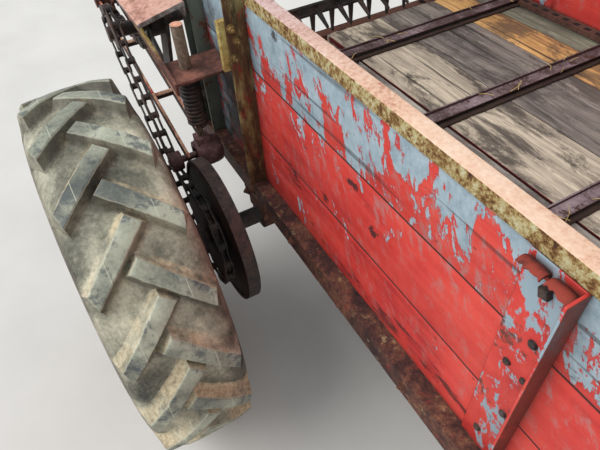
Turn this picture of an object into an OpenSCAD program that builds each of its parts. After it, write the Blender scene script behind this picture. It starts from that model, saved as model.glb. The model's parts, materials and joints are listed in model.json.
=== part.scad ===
// Two-wheel farm manure spreader: a wooden box with a slatted apron floor, driven from its axle.
// Two toothed beaters and a paddled distributor stand across the back, and it parks on a drawbar leg.
// X runs forward to the hitch, Y to the left and Z up from the ground. All sizes are in millimetres.

/* [Wheels] */
// Radius of a tyre over its lugs
tyre_r = 490; // [450:1:530]
// Width of a tyre where its walls bulge most
tyre_w = 262; // [240:1:280]
// Width of the tread over its lugs
tread_w = 232; // [200:1:240]
// Gap between the main chain and the tyre beside it
tyre_gap = 60; // [45:1:120]
// Height of a lug above the tread
lug_h = 28; // [18:1:36]
// Width of a lug's top, square to its length
lug_w = 32; // [24:1:44]
// Lugs on each half of a tyre
lug_count = 18; // [12:1:22]
// Radius of the rim's bead seat
bead_r = 305; // [280:1:330]
// Diameter of the axle
axle_d = 50; // [40:1:60]
// Radius of a wheel hub's barrel
hub_r = 62; // [50:1:80]

/* [Box] */
// Distance between the inner faces of the side planks
inner_w = 1065; // [1000:1:1120]
// Thickness of the side planks
plank_t = 27; // [20:1:32]
// Height of each of the two upper side planks
plank_h = 183; // [160:1:195]
// Height of the sills' upper face above the middle of the axle
sill_up = 117; // [112:1:150]
// Height of the top rail above the sills
rail_up = 533; // [503:1:573]
// Distance from the axle to the inner face of the front boards
box_front = 2240; // [2160:5:2600]
// Distance from the axle back to the rear end of the side planks
box_rear = 395; // [380:1:405]
// Height of the deck above the sills
deck_up = 173; // [158:1:193]
// Thickness of the deck boards
deck_t = 26; // [20:1:32]

/* [Frame] */
// Height of a sill
sill_h = 60; // [56:1:70]
// How far a sill stands out past the planks
ledge = 40; // [30:1:50]
// Thickness of the sills' steel
sill_t = 6; // [4:0.5:8]
// Width of the top rail's upper face
rail_w = 32; // [28:1:40]
// Height of the top rail's outer flange
rail_h = 30; // [20:1:40]
// Thickness of the rails, posts and slats
angle_t = 5; // [4:0.5:6]
// Distance from the axle back to the sills' rear end
sill_rear = 735; // [715:1:780]

/* [Apron] */
// Distance from the axle back to the apron's rear shaft
apron_rear = 335; // [330:1:340]
// Distance from the front boards back to the apron's front shaft
apron_front_gap = 130; // [115:1:160]
// Radius of the apron's sprockets
apron_r = 69; // [62:1:74]
// Distance between the slats along the chain
slat_pitch = 400; // [360:1:440]
// Distance from the apron's rear shaft to the first slat
slat_first = 180; // [150:1:240]
// Width of a slat
slat_w = 38; // [30:1:42]
// Height of the ridge along a slat's rear edge
slat_rib = 12; // [8:1:38]
// Width of the apron chains
apron_chain_w = 36; // [28:1:42]
// Thickness of the apron chains
apron_chain_t = 14; // [10:1:16]

/* [Rotors] */
// Distance from the axle back to the main beater's shaft
main_x = 600; // [596:1:615]
// Height of the main beater's shaft above the sills
main_up = 253; // [248:1:268]
// Radius of the main beater over its tines
main_r = 210; // [190:1:212]
// Radius at which the main beater's bars lie
main_bar_r = 120; // [100:1:135]
// Height of the upper beater's shaft above the sills
upper_up = 583; // [581:1:623]
// Radius of the upper beater over its tines
upper_r = 142; // [120:1:145]
// Radius at which the upper beater's bars lie
upper_bar_r = 84; // [70:1:95]
// Distance from the axle back to the distributor's shaft
fan_x = 1020; // [1012:1:1080]
// Height of the distributor's shaft above the sills
fan_up = 193; // [173:1:223]
// Radius of the distributor over its paddles
fan_r = 185; // [150:1:190]
// Diameter of the rotors' shafts
rotor_shaft_d = 40; // [34:1:46]
// Distance between tines along a bar
tine_pitch = 83; // [76:1:90]
// Width of a tine at its root
tine_w = 22; // [16:1:30]
// Gap between a shaft and its bore, all round
run_gap = 0.3; // [0.2:0.05:0.5]

/* [Drive] */
// Radius of the driving drum on the axle
drum_r = 215; // [200:1:218]
// Width of the driving drum's rim
drum_w = 35; // [28:1:40]
// Distance from a sill's outer face to the drum's inner edge
drum_out = 100.5; // [98.5:0.5:106.5]
// Distance from a sill's outer face to the middle of the main chain
main_chain_out = 160.5; // [156.5:0.5:168.5]
// Distance from a sill's outer face to the middle of the distributor's chain
fan_chain_out = 80.5; // [76.5:0.5:84.5]
// Distance from a sill's outer face to the middle of the upper beater's chain
upper_chain_out = 90.5; // [80.5:0.5:120.5]
// Pitch of the main chain
main_pitch = 58.6; // [50:0.1:62]
// Pitch of the two short chains
short_pitch = 41.9; // [38:0.1:46]
// Width of the drive chains
chain_w = 34; // [28:1:36]
// Thickness of the drive chains at their joints
chain_t = 12; // [10:0.5:13]
// Distance from the axle back to the tension rod
rod_x = 182; // [180:1:190]
// Height of the tension plate's upper face above the sills
tension_up = 299; // [288:1:313]

/* [Drawbar] */
// Distance from the axle to the hitch pin
hitch_x = 3580; // [3500:5:3800]
// Height of the drawbar's beams
beam_h = 76; // [70:1:90]
// Radius of the hitch pin's hole
hitch_r = 14; // [10:0.5:18]
// Gap between the hitch's two ears
hitch_gap = 52; // [40:1:60]
// Distance from the hitch pin back to the stand's pivot
stand_back = 560; // [520:5:640]

/* [Hidden] */
$fn = 48;

// Gap that lets one piece seat on another without touching
seat = 0.3;
half = inner_w / 2;
plank_out = half + plank_t;
sill_out = plank_out + ledge;
axle_z = tyre_r;
sill_z = axle_z + sill_up;
sill_low = sill_z - sill_h;
deck_z = sill_z + deck_up;
rail_z = sill_z + rail_up;
board_top = rail_z - angle_t;
post_t = 6;

// The rotors and the chains that turn them
main_z = sill_z + main_up;
upper_z = sill_z + upper_up;
fan_z = sill_z + fan_up;
tension_z = sill_z + tension_up;
drum_y = sill_out + drum_out;
main_chain_y = sill_out + main_chain_out;
fan_chain_y = sill_out + fan_chain_out;
upper_chain_y = sill_out + upper_chain_out;
short_chain_w = chain_w - 6;
main_chain_in = main_chain_y - chain_w / 2;
main_chain_end = main_chain_y + chain_w / 2;
wheel_y = main_chain_end + tyre_gap + tyre_w / 2;
slope = atan2(main_z - sill_z, sill_rear - main_x - 15);
upper_x = main_x - (upper_z - main_z) / tan(slope);
frame_t = 12;
paddle_trim = 4;
fan_reach = fan_x + fan_r - paddle_trim;

// The whole length is centred on the origin
hitch_nose = 46;
axle_x = (fan_reach - hitch_x - hitch_nose) / 2;

// Apron loop: each wheel of a chain is its x, its z and its radius, with a minus where the chain bends outward
apron_z = deck_z + 1 - apron_r;
apron_front = box_front - apron_front_gap;
apron_mid_r = apron_r + apron_chain_t / 2;
apron_loop = [[apron_front, apron_z, apron_mid_r], [-apron_rear, apron_z, apron_mid_r]];
apron_chain_y = half - 8 - apron_chain_w / 2;
apron_bore = 40;

// Drive chains
drive_mid_r = main_pitch * 15 / 360 * 180 / PI;
main_mid_r = main_pitch * 8 / 360 * 180 / PI;
fan_mid_r = short_pitch * 9 / 360 * 180 / PI;
upper_mid_r = short_pitch * 8 / 360 * 180 / PI;
idler_r = 28;
idler_z = axle_z + 145;
// Room for the straight links where the chain bends round the idler
idler_gap = 2.1;
idler_mid_r = idler_r + chain_t / 2 + idler_gap;
main_loop = [
    [0, axle_z, drive_mid_r], [-rod_x, idler_z, -idler_mid_r], [-main_x, main_z, main_mid_r]
];
fan_loop = [[-main_x, main_z, fan_mid_r], [-fan_x, fan_z, fan_mid_r]];
upper_loop = [[-upper_x, upper_z, upper_mid_r], [-main_x, main_z, fan_mid_r]];
// Gap that the turning sprockets keep from the chains, which do not run
tooth_gap = 5;

// Colours
red = "firebrick";
rust = [0.36, 0.22, 0.18];
dark = [0.16, 0.14, 0.13];
olive = [0.55, 0.5, 0.33];
wood = [0.55, 0.52, 0.46];
rubber = [0.3, 0.3, 0.27];

// Placing: everything is drawn from the axle's middle, at ground level
module at_axle() {
    translate([axle_x, 0, 0]) children();
}

module both_sides() {
    children();
    mirror([0, 1, 0]) children();
}

module right_side() {
    mirror([0, 1, 0]) children();
}

// An outline in x and z, as a plate from one y to another
module plate_y(y0, y1) {
    translate([0, y1, 0]) rotate([90, 0, 0]) linear_extrude(y1 - y0) children();
}

// An outline in y and z, as a bar from one x to another
module plate_x(x0, x1) {
    translate([x0, 0, 0]) rotate([90, 0, 90]) linear_extrude(x1 - x0) children();
}

module rod_y(r, y0, y1, x, z) {
    translate([x, y1, z]) rotate([90, 0, 0]) cylinder(r = r, h = y1 - y0);
}

module block(x, y, z) {
    translate([x[0], y[0], z[0]]) cube([x[1] - x[0], y[1] - y[0], z[1] - z[0]]);
}

// A flat strip with round ends between two points; its sides cut the ends at clear corners, a touch inside them
strip_in = 0.15;
module strip(a, b, w) {
    d = b - a;
    translate(a) rotate(atan2(d.y, d.x)) translate([0, strip_in - w / 2]) square([norm(d), w - 2 * strip_in]);
    for (p = [a, b]) translate(p) circle(d = w);
}

module on_axis(x, z) {
    translate([x, 0, z]) children();
}

// A chain's path: tangent lines and arcs round its wheels, counter-clockwise in x and z
function aim(a, b) = let (d = [b.x - a.x, b.y - a.y]) atan2(d.y, d.x) - asin((b.z - a.z) / norm(d));
function left_of(t) = [-sin(t), cos(t)];
function touch(c, t) = [c.x, c.y] - c.z * left_of(t);
function turn(a, b) = (b - a) - 360 * floor((b - a) / 360);
// A span of a path is its length, its first heading, its signed radius (0 if straight) and its start
function spans(cs) = [
    for (i = [0:len(cs) - 1])
        let (a = cs[i], b = cs[(i + 1) % len(cs)], c = cs[(i + 2) % len(cs)])
        let (t = aim(a, b), u = aim(b, c), s = b.z > 0 ? turn(t, u) : turn(u, t))
        each [
            [norm(touch(b, t) - touch(a, t)), t, 0, touch(a, t)],
            [abs(b.z) * s * PI / 180, t, b.z, touch(b, t)]
        ]
];
function total(sp, i = 0) = i == len(sp) ? 0 : sp[i][0] + total(sp, i + 1);
// Where a path is after a length s: x, z and heading
function place(sp, s, i = 0) =
    s > sp[i][0] && i < len(sp) - 1 ? place(sp, s - sp[i][0], i + 1)
    : sp[i][2] == 0 ? let (p = sp[i][3] + s * [cos(sp[i][1]), sin(sp[i][1])]) [p.x, p.y, sp[i][1]]
    : let (h = sp[i][1] + s / sp[i][2] * 180 / PI)
      let (p = sp[i][3] + sp[i][2] * (left_of(sp[i][1]) - left_of(h))) [p.x, p.y, h];

// A chain is one closed band that swells at each joint and narrows between two.
// A joint lies at the length `first` along its path.
waist = 7;
module chain(loop, y, pitch, w, first = 0) {
    sp = spans(loop);
    n = round(total(sp) / pitch);
    at = [for (i = [0:n]) place(sp, (first + i * total(sp) / n) % total(sp))];
    plate_y(y - w / 2, y + w / 2) difference() {
        polygon(band(at, -1));
        polygon(band(at, 1));
    }
}

// One edge of the band, on the left of its path for side 1 and on the right for side -1
function across(a, b) = let (d = [b.x - a.x, b.y - a.y] / norm([b.x - a.x, b.y - a.y])) [-d.y, d.x];
function band(at, side) = [
    for (i = [1:len(at) - 1])
        let (o = at[i - 1], p = at[i], q = at[i == len(at) - 1 ? 1 : i + 1])
        each [
            [p.x, p.y] + side * chain_t / 2 * across(o, q),
            [p.x + q.x, p.y + q.y] / 2 + side * waist / 2 * across(p, q)
        ]
];

// How far a sprocket's tips stay inside the chain's middle line, so that the straight links clear them
function bite(r, pitch) = pitch * pitch / (8 * r) + chain_t / 2 + seat;

// A toothed disc's outline
module teeth(n, root_r, tip_r) {
    step = 360 / n;
    polygon([
        for (i = [0:n - 1])
            each [
                for (c = [[-0.36, root_r], [-0.16, tip_r], [0.16, tip_r], [0.36, root_r]])
                    let (a = (i + c[0]) * step) c[1] * [cos(a), sin(a)]
            ]
    ]);
}

module sprocket(n, tip_r, y, x, z) {
    on_axis(x, z) plate_y(y - 5, y + 5) teeth(n, tip_r - 13, tip_r);
}

// Frame
module sills() {
    color(rust) at_axle() both_sides() plate_x(-sill_rear, box_front + deck_t) difference() {
        translate([half, sill_low]) square([sill_out - half, sill_h]);
        translate([half - 1, sill_low + sill_t])
            square([sill_out - sill_t - half + 1, sill_h - 2 * sill_t]);
    }
}

tie_w = 50;
tie_h = 36;
tie_places = [-sill_rear + 10, -260, 520, 1290, 2160];
module cross_ties() {
    end = sill_out - sill_t - seat;
    color(rust) at_axle() for (x = tie_places) plate_y(-end, end) difference() {
        translate([x, sill_low + sill_t + seat]) square([tie_w, tie_h]);
        translate([x + sill_t, sill_low + sill_t - 1]) square([tie_w - 2 * sill_t, tie_h - sill_t + 1]);
    }
}

bearer_w = 60;
bearer_h = 58;
bearer_places = [-230, 320, 880, 1440, 1960];
module deck_bearers() {
    color(wood) at_axle() for (x = bearer_places)
        block([x, x + bearer_w], [-half + seat, half - seat],
            [deck_z - deck_t - seat - bearer_h, deck_z - deck_t - seat]);
}

// Deck boards from the left: width, gap to the next, rear end and front end; the one of no width fills what is left.
// The edge boards lie between the apron's sprockets, and two boards have lost their rear ends.
board_gap = 2;
open_gap = 8;
edge_w = 45;
edge_rear = -apron_rear + apron_r + 5;
edge_front = apron_front - apron_r - 5;
board_front = box_front - seat;
rear_end = -350;
broken_end = -150;
boards = [
    [edge_w, board_gap, edge_rear, edge_front], [75, board_gap, rear_end, board_front],
    [119, board_gap, rear_end, board_front], [226, board_gap, rear_end, board_front],
    [204, open_gap, rear_end, board_front], [165, board_gap, broken_end, board_front],
    [0, board_gap, broken_end, board_front], [edge_w, 0, edge_rear, edge_front]
];
function run_of(i) = i == 0 ? 0 : run_of(i - 1) + boards[i - 1][0] + boards[i - 1][1];
board_run = inner_w - 2 * board_gap;
filler = board_run - run_of(len(boards) - 1) - edge_w;
module deck_boards() {
    color(wood) at_axle() for (i = [0:len(boards) - 1]) {
        last = i > 6 ? filler : 0;
        w = boards[i][0] == 0 ? filler : boards[i][0];
        y = half - board_gap - run_of(i) - last;
        block([boards[i][2], boards[i][3]], [y - w, y], [deck_z - deck_t, deck_z]);
    }
}

// Side planks: height of each joint above the ground, from the top down
plank_gap = 1.5;
joints = [board_top, board_top - plank_h, board_top - 2 * plank_h, sill_z];
module planks_left() {
    color(red) at_axle() difference() {
        for (i = [0:2])
            block([-box_rear, box_front], [half, plank_out],
                [joints[i + 1] + (i < 2 ? plank_gap : 0), joints[i]]);
        shaft_holes();
    }
}

module planks_right() {
    mirror([0, 1, 0]) planks_left();
}

// Where the apron's two shafts pass out through the sides
module shaft_holes() {
    for (x = [-apron_rear, apron_front])
        rod_y(apron_bore / 2 + seat, half - 1, sill_out + 10, x, apron_z);
}

post_front = 0;
upright_front = -290;
module top_rails() {
    color(olive) at_axle() both_sides() plate_x(upright_front + 5, box_front + deck_t) {
        translate([plank_out + angle_t - rail_w, rail_z - angle_t]) square([rail_w, angle_t]);
        translate([plank_out, rail_z - rail_h]) square([angle_t, rail_h]);
    }
}

// A post is an angle: one leg lies under the rail's flange, and the other runs up past it
post_w = 50;
post_out = plank_out + ledge + 10;
module posts() {
    color(olive) at_axle() both_sides() {
        block([post_front - post_w, post_front], [plank_out + seat, plank_out + seat + post_t],
            [sill_z, rail_z - rail_h - 2]);
        block([post_front - post_t, post_front], [plank_out + seat + post_t / 2, post_out],
            [sill_z, rail_z - rail_h - 2]);
        block([post_front - post_t, post_front], [plank_out + angle_t + seat, post_out], [sill_z, rail_z]);
    }
}

// Pressed steel stakes that hold the side planks: distance of each one's front edge from the axle
stake_places = [907, 1760];
stake_w = 86;
module stakes() {
    color(red) at_axle() both_sides() for (x = stake_places) {
        translate([0, 0, sill_z]) linear_extrude(rail_z - rail_h - 2 - sill_z) {
            translate([x - stake_w, plank_out + seat]) square([stake_w, angle_t]);
            translate([x - angle_t, plank_out + seat]) square([angle_t, ledge]);
        }
    }
}

front_top = 60;
module front_boards() {
    color(red) at_axle() for (i = [0:2]) {
        top = i == 0 ? rail_z + front_top : joints[i];
        block([box_front + seat, box_front + deck_t], [-half + seat, half - seat],
            [joints[i + 1] + plank_gap, top]);
    }
}

// Uprights behind the box and the sloping frames that carry the rotors
upright_w = 80;
upright_top = upper_z + 110;
module uprights() {
    color([0.42, 0.45, 0.42]) at_axle() both_sides() difference() {
        translate([0, 0, sill_z]) linear_extrude(upright_top - sill_z) difference() {
            translate([upright_front - upright_w, plank_out + seat]) square([upright_w, ledge - seat]);
            translate([upright_front - upright_w + post_t, plank_out + seat + post_t])
                square([upright_w - 2 * post_t, ledge]);
        }
        shaft_holes();
    }
}

bearing_r = 44;
bearing_l = 52;
frame_w = 70;
module beater_frame_left() {
    main = [-main_x, main_z];
    upper = [-upper_x, upper_z];
    fan = [-fan_x, fan_z];
    foot = [-sill_rear + 15 + frame_w / 2, sill_z + frame_w / 2 - 30];
    crown = upper + 75 * [cos(slope), sin(slope)];
    color(rust) at_axle() difference() {
        union() {
            plate_y(sill_out + seat, sill_out + seat + frame_t) {
                strip(foot, crown, frame_w);
                strip(foot + [0, 5], fan, 50);
                strip(main, fan, 50);
                strip(crown, [upright_front - upright_w / 2, crown.y], 50);
            }
            for (c = [main, upper, fan])
                rod_y(bearing_r, sill_out + seat, sill_out + seat + bearing_l, c.x, c.y);
        }
        for (c = [main, upper, fan])
            rod_y(rotor_shaft_d / 2 + run_gap, sill_out - 1, sill_out + bearing_l + 5, c.x, c.y);
    }
}

module beater_frame_right() {
    mirror([0, 1, 0]) beater_frame_left();
}

// Apron
module apron_chains() {
    inner = apron_r;
    outer = apron_r + apron_chain_t;
    color(rust) at_axle() both_sides()
        plate_y(apron_chain_y - apron_chain_w / 2, apron_chain_y + apron_chain_w / 2) difference() {
            track(outer);
            track(inner);
        }
}

module track(r) {
    translate([-apron_rear, apron_z - r]) square([apron_front + apron_rear, 2 * r]);
    translate([-apron_rear, apron_z]) circle(r = r);
    translate([apron_front, apron_z]) circle(r = r);
}

slat_end = half - 6;
module apron_slats() {
    sp = spans(apron_loop);
    n = floor(total(sp) / slat_pitch);
    color(rust) at_axle() for (i = [0:n - 1]) {
        p = place(sp, (slat_start(sp) - i * slat_pitch + 2 * total(sp)) % total(sp));
        translate([p.x, 0, p.y]) rotate([0, -p.z, 0]) translate([0, 0, -apron_chain_t / 2 - seat])
            plate_y(-slat_end, slat_end) slat_outline();
    }
}

function slat_start(sp) = sp[0][0] - slat_first;

module slat_outline() {
    translate([0, -angle_t]) square([slat_w, angle_t]);
    translate([slat_w - angle_t, -slat_rib]) square([angle_t, slat_rib]);
}

apron_end = sill_out + 14;
module apron_shaft(x, left_end) {
    rod_y(apron_bore / 2, -apron_end, left_end, x, apron_z);
    both_sides() on_axis(x, apron_z)
        plate_y(apron_chain_y - apron_chain_w / 4, apron_chain_y + apron_chain_w / 4)
            teeth(8, apron_r - 14, apron_r - seat);
}

module apron_rear_shaft() {
    color(dark) at_axle() apron_shaft(-apron_rear, ratchet_y + 44);
}

module apron_front_shaft() {
    color(dark) at_axle() apron_shaft(apron_front, apron_end);
}

// Axle, its brackets and what it drives
hub_inner = main_chain_y + 34;
hub_outer = wheel_y + 62;
module axle() {
    color(dark) at_axle() {
        rod_y(axle_d / 2, -hub_outer - 20, hub_outer + 20, 0, axle_z);
        both_sides() {
            rod_y(axle_d / 2 + 14, hub_inner - 20, hub_inner - 1, 0, axle_z);
            rod_y(axle_d / 2 + 12, hub_outer + 1, hub_outer + 14, 0, axle_z);
        }
    }
}

module axle_brackets() {
    w = axle_d + 70;
    color(rust) at_axle() both_sides() plate_y(half + 8, sill_out - 2) difference() {
        union() {
            translate([-w / 2, axle_z]) square([w, sill_low - seat - axle_z]);
            translate([-w / 2 - 30, sill_low - seat - 14]) square([w + 60, 14]);
            translate([0, axle_z]) circle(r = axle_d / 2 + 20);
        }
        translate([0, axle_z]) circle(r = axle_d / 2 + run_gap);
    }
}

module drive_drum() {
    color(rust) at_axle() right_side() {
        difference() {
            union() {
                on_axis(0, axle_z) plate_y(drum_y, drum_y + drum_w) difference() {
                    circle(r = drum_r);
                    circle(r = drum_r - 9);
                }
                rod_y(drum_r - 5, drum_y + drum_w - 14, drum_y + drum_w - 4, 0, axle_z);
                rod_y(drum_r / 3, drum_y - 10, main_chain_y, 0, axle_z);
                sprocket(15, drive_mid_r - bite(drive_mid_r, main_pitch), main_chain_y, 0, axle_z);
            }
            rod_y(axle_d / 2 + run_gap, drum_y - 20, main_chain_y + 20, 0, axle_z);
        }
    }
}

module main_chain() {
    sp = spans(main_loop);
    color(dark) at_axle()
        chain(main_loop, -main_chain_y, main_pitch, chain_w, sp[0][0] + sp[1][0] / 2);
}

// A joint of each short chain lies under its tightener's roller, at the middle of a straight run
module fan_chain() {
    sp = spans(fan_loop);
    color(dark) at_axle() chain(fan_loop, -fan_chain_y, short_pitch, short_chain_w, sp[0][0] / 2);
}

module upper_chain() {
    sp = spans(upper_loop);
    color(dark) at_axle() chain(upper_loop, upper_chain_y, short_pitch, short_chain_w,
        sp[0][0] + sp[1][0] + sp[2][0] / 2);
}

// A roller on an arm of the frame that rests on the outside of one straight run of a chain
tightener_r = 22;
module tightener(loop, run, y) {
    sp = spans(loop)[2 * run];
    mid = sp[3] + sp[0] / 2 * [cos(sp[1]), sin(sp[1])];
    out = -left_of(sp[1]);
    axis = mid + (tightener_r + chain_t / 2 + seat) * out;
    root = ([loop[0].x, loop[0].y] + [loop[1].x, loop[1].y]) / 2;
    in = sill_out + frame_t + 2 * seat;
    plate_y(in, in + 10) strip(root, axis, 36);
    rod_y(9, in, y + chain_w / 2 + 4, axis.x, axis.y);
    rod_y(tightener_r, y - chain_w / 2 + 2, y + chain_w / 2 - 2, axis.x, axis.y);
}

module chain_tighteners() {
    color(dark) at_axle() {
        right_side() tightener(fan_loop, 0, fan_chain_y);
        tightener(upper_loop, 1, upper_chain_y);
    }
}

// The tension plate has an ear bolted behind the post, and a bar that runs back under the guard
plate_front = -115;
plate_rear = -235;
plate_out = sill_out + 124.5;
plate_t = 9;
brace_t = 8;
brace_h = 32;
brace_rear = -610;
brace_rise = 94;
web_t = 10;
ear_rise = 54;
ear_h = 120;
ear_thick = 16;
module tension_plate() {
    ear_x = post_front - post_t - seat;
    in = plank_out + post_t + 1;
    low = tension_z - plate_t;
    top = tension_z + ear_rise;
    color(rust) at_axle() right_side() difference() {
        union() {
            block([plate_rear, plate_front], [in, plate_out], [low, tension_z]);
            block([plate_front - brace_h, ear_x], [in, in + web_t], [low, top + ear_h / 4]);
            block([ear_x - ear_thick, ear_x], [in, post_out + ear_thick], [top, top + ear_h]);
            plate_y(plate_out - brace_t, plate_out) polygon([
                [plate_front, tension_z], [brace_rear, tension_z + brace_rise],
                [brace_rear, tension_z + brace_rise - brace_h], [plate_front, tension_z - brace_h]
            ]);
        }
        translate([-rod_x, rod_side, tension_z - 20]) cylinder(r = 16, h = 40);
    }
}

rod_side = sill_out + 70.5;
neck_h = 58;
module tension_rod() {
    color(rust) at_axle() translate([-rod_x, -rod_side, 0]) {
        translate([0, 0, tension_z - 14]) cylinder(r = 15.5, h = 130);
        translate([0, 0, idler_z + neck_h + seat])
            cylinder(r = 10, h = tension_z - 10 - idler_z - neck_h - seat);
    }
}

spring_r = 29;
spring_turns = 12;
module tension_spring() {
    top = tension_z - plate_t - seat;
    low = top - 168;
    step = (top - low) / spring_turns;
    color(dark) at_axle() translate([-rod_x, -rod_side, 0]) rotate_extrude() {
        for (i = [0:spring_turns - 1])
            translate([spring_r - step / 2, low + (i + 0.5) * step]) circle(d = step, $fn = 12);
        translate([spring_r - step / 2 - 3, low + step / 2]) square([3, top - low - step]);
    }
}

// The idler's boss lies between the two plates of the drive arm, and its pin carries the roller outside them
boss_out = sill_out + 98.5;
pin_r = 10;
module idler() {
    color(rust) at_axle() right_side() {
        rod_y(38, arm_in + arm_t + seat, boss_out, -rod_x, idler_z);
        block([-rod_x - 20, -rod_x + 20], [rod_side - 20, rod_side + 20], [idler_z + 25, idler_z + neck_h]);
        rod_y(pin_r, arm_in - 4, main_chain_end + 4, -rod_x, idler_z);
        rod_y(idler_r, main_chain_in, main_chain_end, -rod_x, idler_z);
    }
}

// Two flat plates on edge from the idler's pin back to the distributor's shaft, with two spacers between
arm_in = sill_out + 54;
arm_out = sill_out + 118.5;
arm_t = 8;
arm_h = 30;
module drive_arm() {
    front = [-rod_x, idler_z];
    rear = [-fan_x, fan_z];
    color(rust) at_axle() right_side() difference() {
        union() {
            for (y = [arm_in, arm_out]) {
                plate_y(y, y + arm_t) strip(front, rear, arm_h);
                rod_y(rotor_shaft_d / 2 + 12, y, y + arm_t, rear.x, rear.y);
            }
            for (k = [0.33, 0.67])
                let (p = front + k * (rear - front)) rod_y(11, arm_in + 1, arm_out + 1, p.x, p.y);
        }
        rod_y(pin_r + run_gap, arm_in - 1, arm_out + arm_t + 1, front.x, front.y);
        rod_y(rotor_shaft_d / 2 + run_gap, arm_in - 1, arm_out + arm_t + 1, rear.x, rear.y);
    }
}

// The guard is a sloping sheet over the chains, its outer and front edges turned down
guard_front = -279;
guard_rear = -700;
guard_in = sill_out + frame_t + 2 * seat;
guard_low = tension_z + 84;
guard_high = tension_z + 118;
guard_lean = 12;
guard_w = (main_chain_in - guard_in - 2) / cos(guard_lean);
guard_t = 4;
guard_lip = 12;
module chain_guard() {
    edge = [guard_in + 2, guard_high] + (guard_w - guard_t / 2) * [cos(guard_lean), -sin(guard_lean)];
    color([0.75, 0.55, 0.5]) at_axle() right_side() {
        plate_x(guard_rear, guard_front) {
            translate([guard_in + 2, guard_high]) rotate(-guard_lean) square([guard_w, guard_t]);
            translate([guard_in, guard_low]) square([guard_t + 1, guard_high - guard_low + 3]);
            translate(edge - [guard_t / 2, guard_lip]) square([guard_t / 2, guard_lip + 1]);
        }
        plate_x(guard_front - guard_t / 2, guard_front)
            translate([guard_in + 2, guard_high]) rotate(-guard_lean)
                translate([0, -guard_lip / 2]) square([guard_w - guard_t, guard_lip]);
    }
}

// The ratchet that feeds the apron: a toothed wheel, its arm and the rod from the axle's eccentric
ratchet_y = sill_out + 20;
feed_arm_l = 160;
eccentric_r = 52;
module feed_drive() {
    shaft = [-apron_rear, apron_z];
    knee = shaft + feed_arm_l * [cos(68), sin(68)];
    y = ratchet_y;
    color(dark) at_axle() difference() {
        union() {
            on_axis(shaft.x, shaft.y) plate_y(y, y + 14) teeth(28, 104, 116);
            rod_y(36, y - 6, y + 40, shaft.x, shaft.y);
            plate_y(y + 16, y + 26) strip(shaft, knee, 40);
            plate_y(y + 28, y + 38) strip(knee, [0, axle_z], 36);
            rod_y(12, y + 12, y + 44, knee.x, knee.y);
            rod_y(eccentric_r, y + 24, y + 42, 0, axle_z);
        }
        rod_y(apron_bore / 2 + seat, y - 10, y + 60, shaft.x, shaft.y);
        rod_y(axle_d / 2 + seat, y - 10, y + 60, 0, axle_z);
    }
}

// Drawbar: two beams that meet at the hitch
beam_w = 40;
beam_rear = 1300;
beam_y = half - 30;
beam_top = sill_low + sill_t;
shank = 110;
beam_front = hitch_x - shank - seat;
beam_len = norm([beam_front - beam_rear, beam_y - hitch_nose]);
beam_turn = atan2(hitch_nose - beam_y, beam_front - beam_rear);
function beam_inner(x) = hitch_nose + (x - beam_front) * tan(beam_turn) - beam_w / cos(beam_turn);
module drawbar() {
    color(rust) at_axle() both_sides() translate([beam_rear, beam_y, beam_top - beam_h])
        rotate([0, 0, beam_turn]) difference() {
            translate([0, -beam_w, 0]) cube([beam_len, beam_w, beam_h]);
            translate([-1, -beam_w - 1, sill_t])
                cube([beam_len + 2, beam_w - sill_t + 1, beam_h - 2 * sill_t]);
        }
}

ear_t = 16;
module hitch() {
    mid = beam_top - beam_h / 2;
    color(dark) at_axle() difference() {
        union() {
            for (z = [mid - hitch_gap / 2 - ear_t, mid + hitch_gap / 2])
                translate([0, 0, z]) linear_extrude(ear_t) {
                    translate([hitch_x - shank, -hitch_nose]) square([shank, 2 * hitch_nose]);
                    translate([hitch_x, 0]) circle(r = hitch_nose);
                }
            block([hitch_x - shank, hitch_x - 66], [-hitch_nose, hitch_nose],
                [mid - hitch_gap / 2 - ear_t, mid + hitch_gap / 2 + ear_t]);
        }
        translate([hitch_x, 0, mid - 60]) cylinder(r = hitch_r, h = 120);
    }
}

// The parking stand hangs between the beams and swings up to the rear
stand_x = hitch_x - stand_back;
stand_z = beam_top - beam_h / 2;
stand_w = 60;
stand_pin_r = 12;
ear_w = 10;
module stand_bracket() {
    bar = [stand_x + 45, stand_x + 60];
    out = beam_inner(bar[1]) + sill_t - 2 * seat;
    color(rust) at_axle() {
        block(bar, [-out, out], [beam_top - beam_h + sill_t + seat, beam_top - sill_t - seat]);
        difference() {
            both_sides() block([stand_x - 28, bar[0]], [stand_w / 2 + 5, stand_w / 2 + 5 + ear_w],
                [stand_z - 28, stand_z + 28]);
            rod_y(stand_pin_r + run_gap, -60, 60, stand_x, stand_z);
        }
    }
}

foot_t = 10;
foot_lean = 30;
module stand() {
    color(red) at_axle() {
        difference() {
            plate_y(-stand_w / 2, stand_w / 2)
                strip([stand_x, stand_z], [stand_x + foot_lean, foot_t + 20], 50);
            block([stand_x - 60, stand_x + 80], [-stand_w / 2 + 6, stand_w / 2 - 6], [foot_t, stand_z - 40]);
        }
        rod_y(stand_pin_r, -stand_w / 2 - 5 - ear_w - 4, stand_w / 2 + 5 + ear_w + 4, stand_x, stand_z);
        block([stand_x + 5, stand_x + 115], [-70, 70], [0, foot_t]);
    }
}

// Control levers on the front boards
lever_y = half - 232.5;
module levers() {
    x = box_front + deck_t + seat;
    pivot = [x + 60, rail_z - 190];
    color(rust) at_axle() {
        block([x, x + 8], [lever_y - 40, lever_y + 80], [pivot.y - 120, pivot.y + 120]);
        for (y = [lever_y, lever_y + 40]) {
            plate_y(y - 8, y) strip([x + 8 + seat + 30, pivot.y], pivot, 60);
            plate_y(y, y + 8) strip(pivot, pivot + [90 + (y - lever_y), 560], 28);
        }
    }
}

// Wheels
tyre_steps = 30;
tread_r = tyre_r - lug_h;
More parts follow.
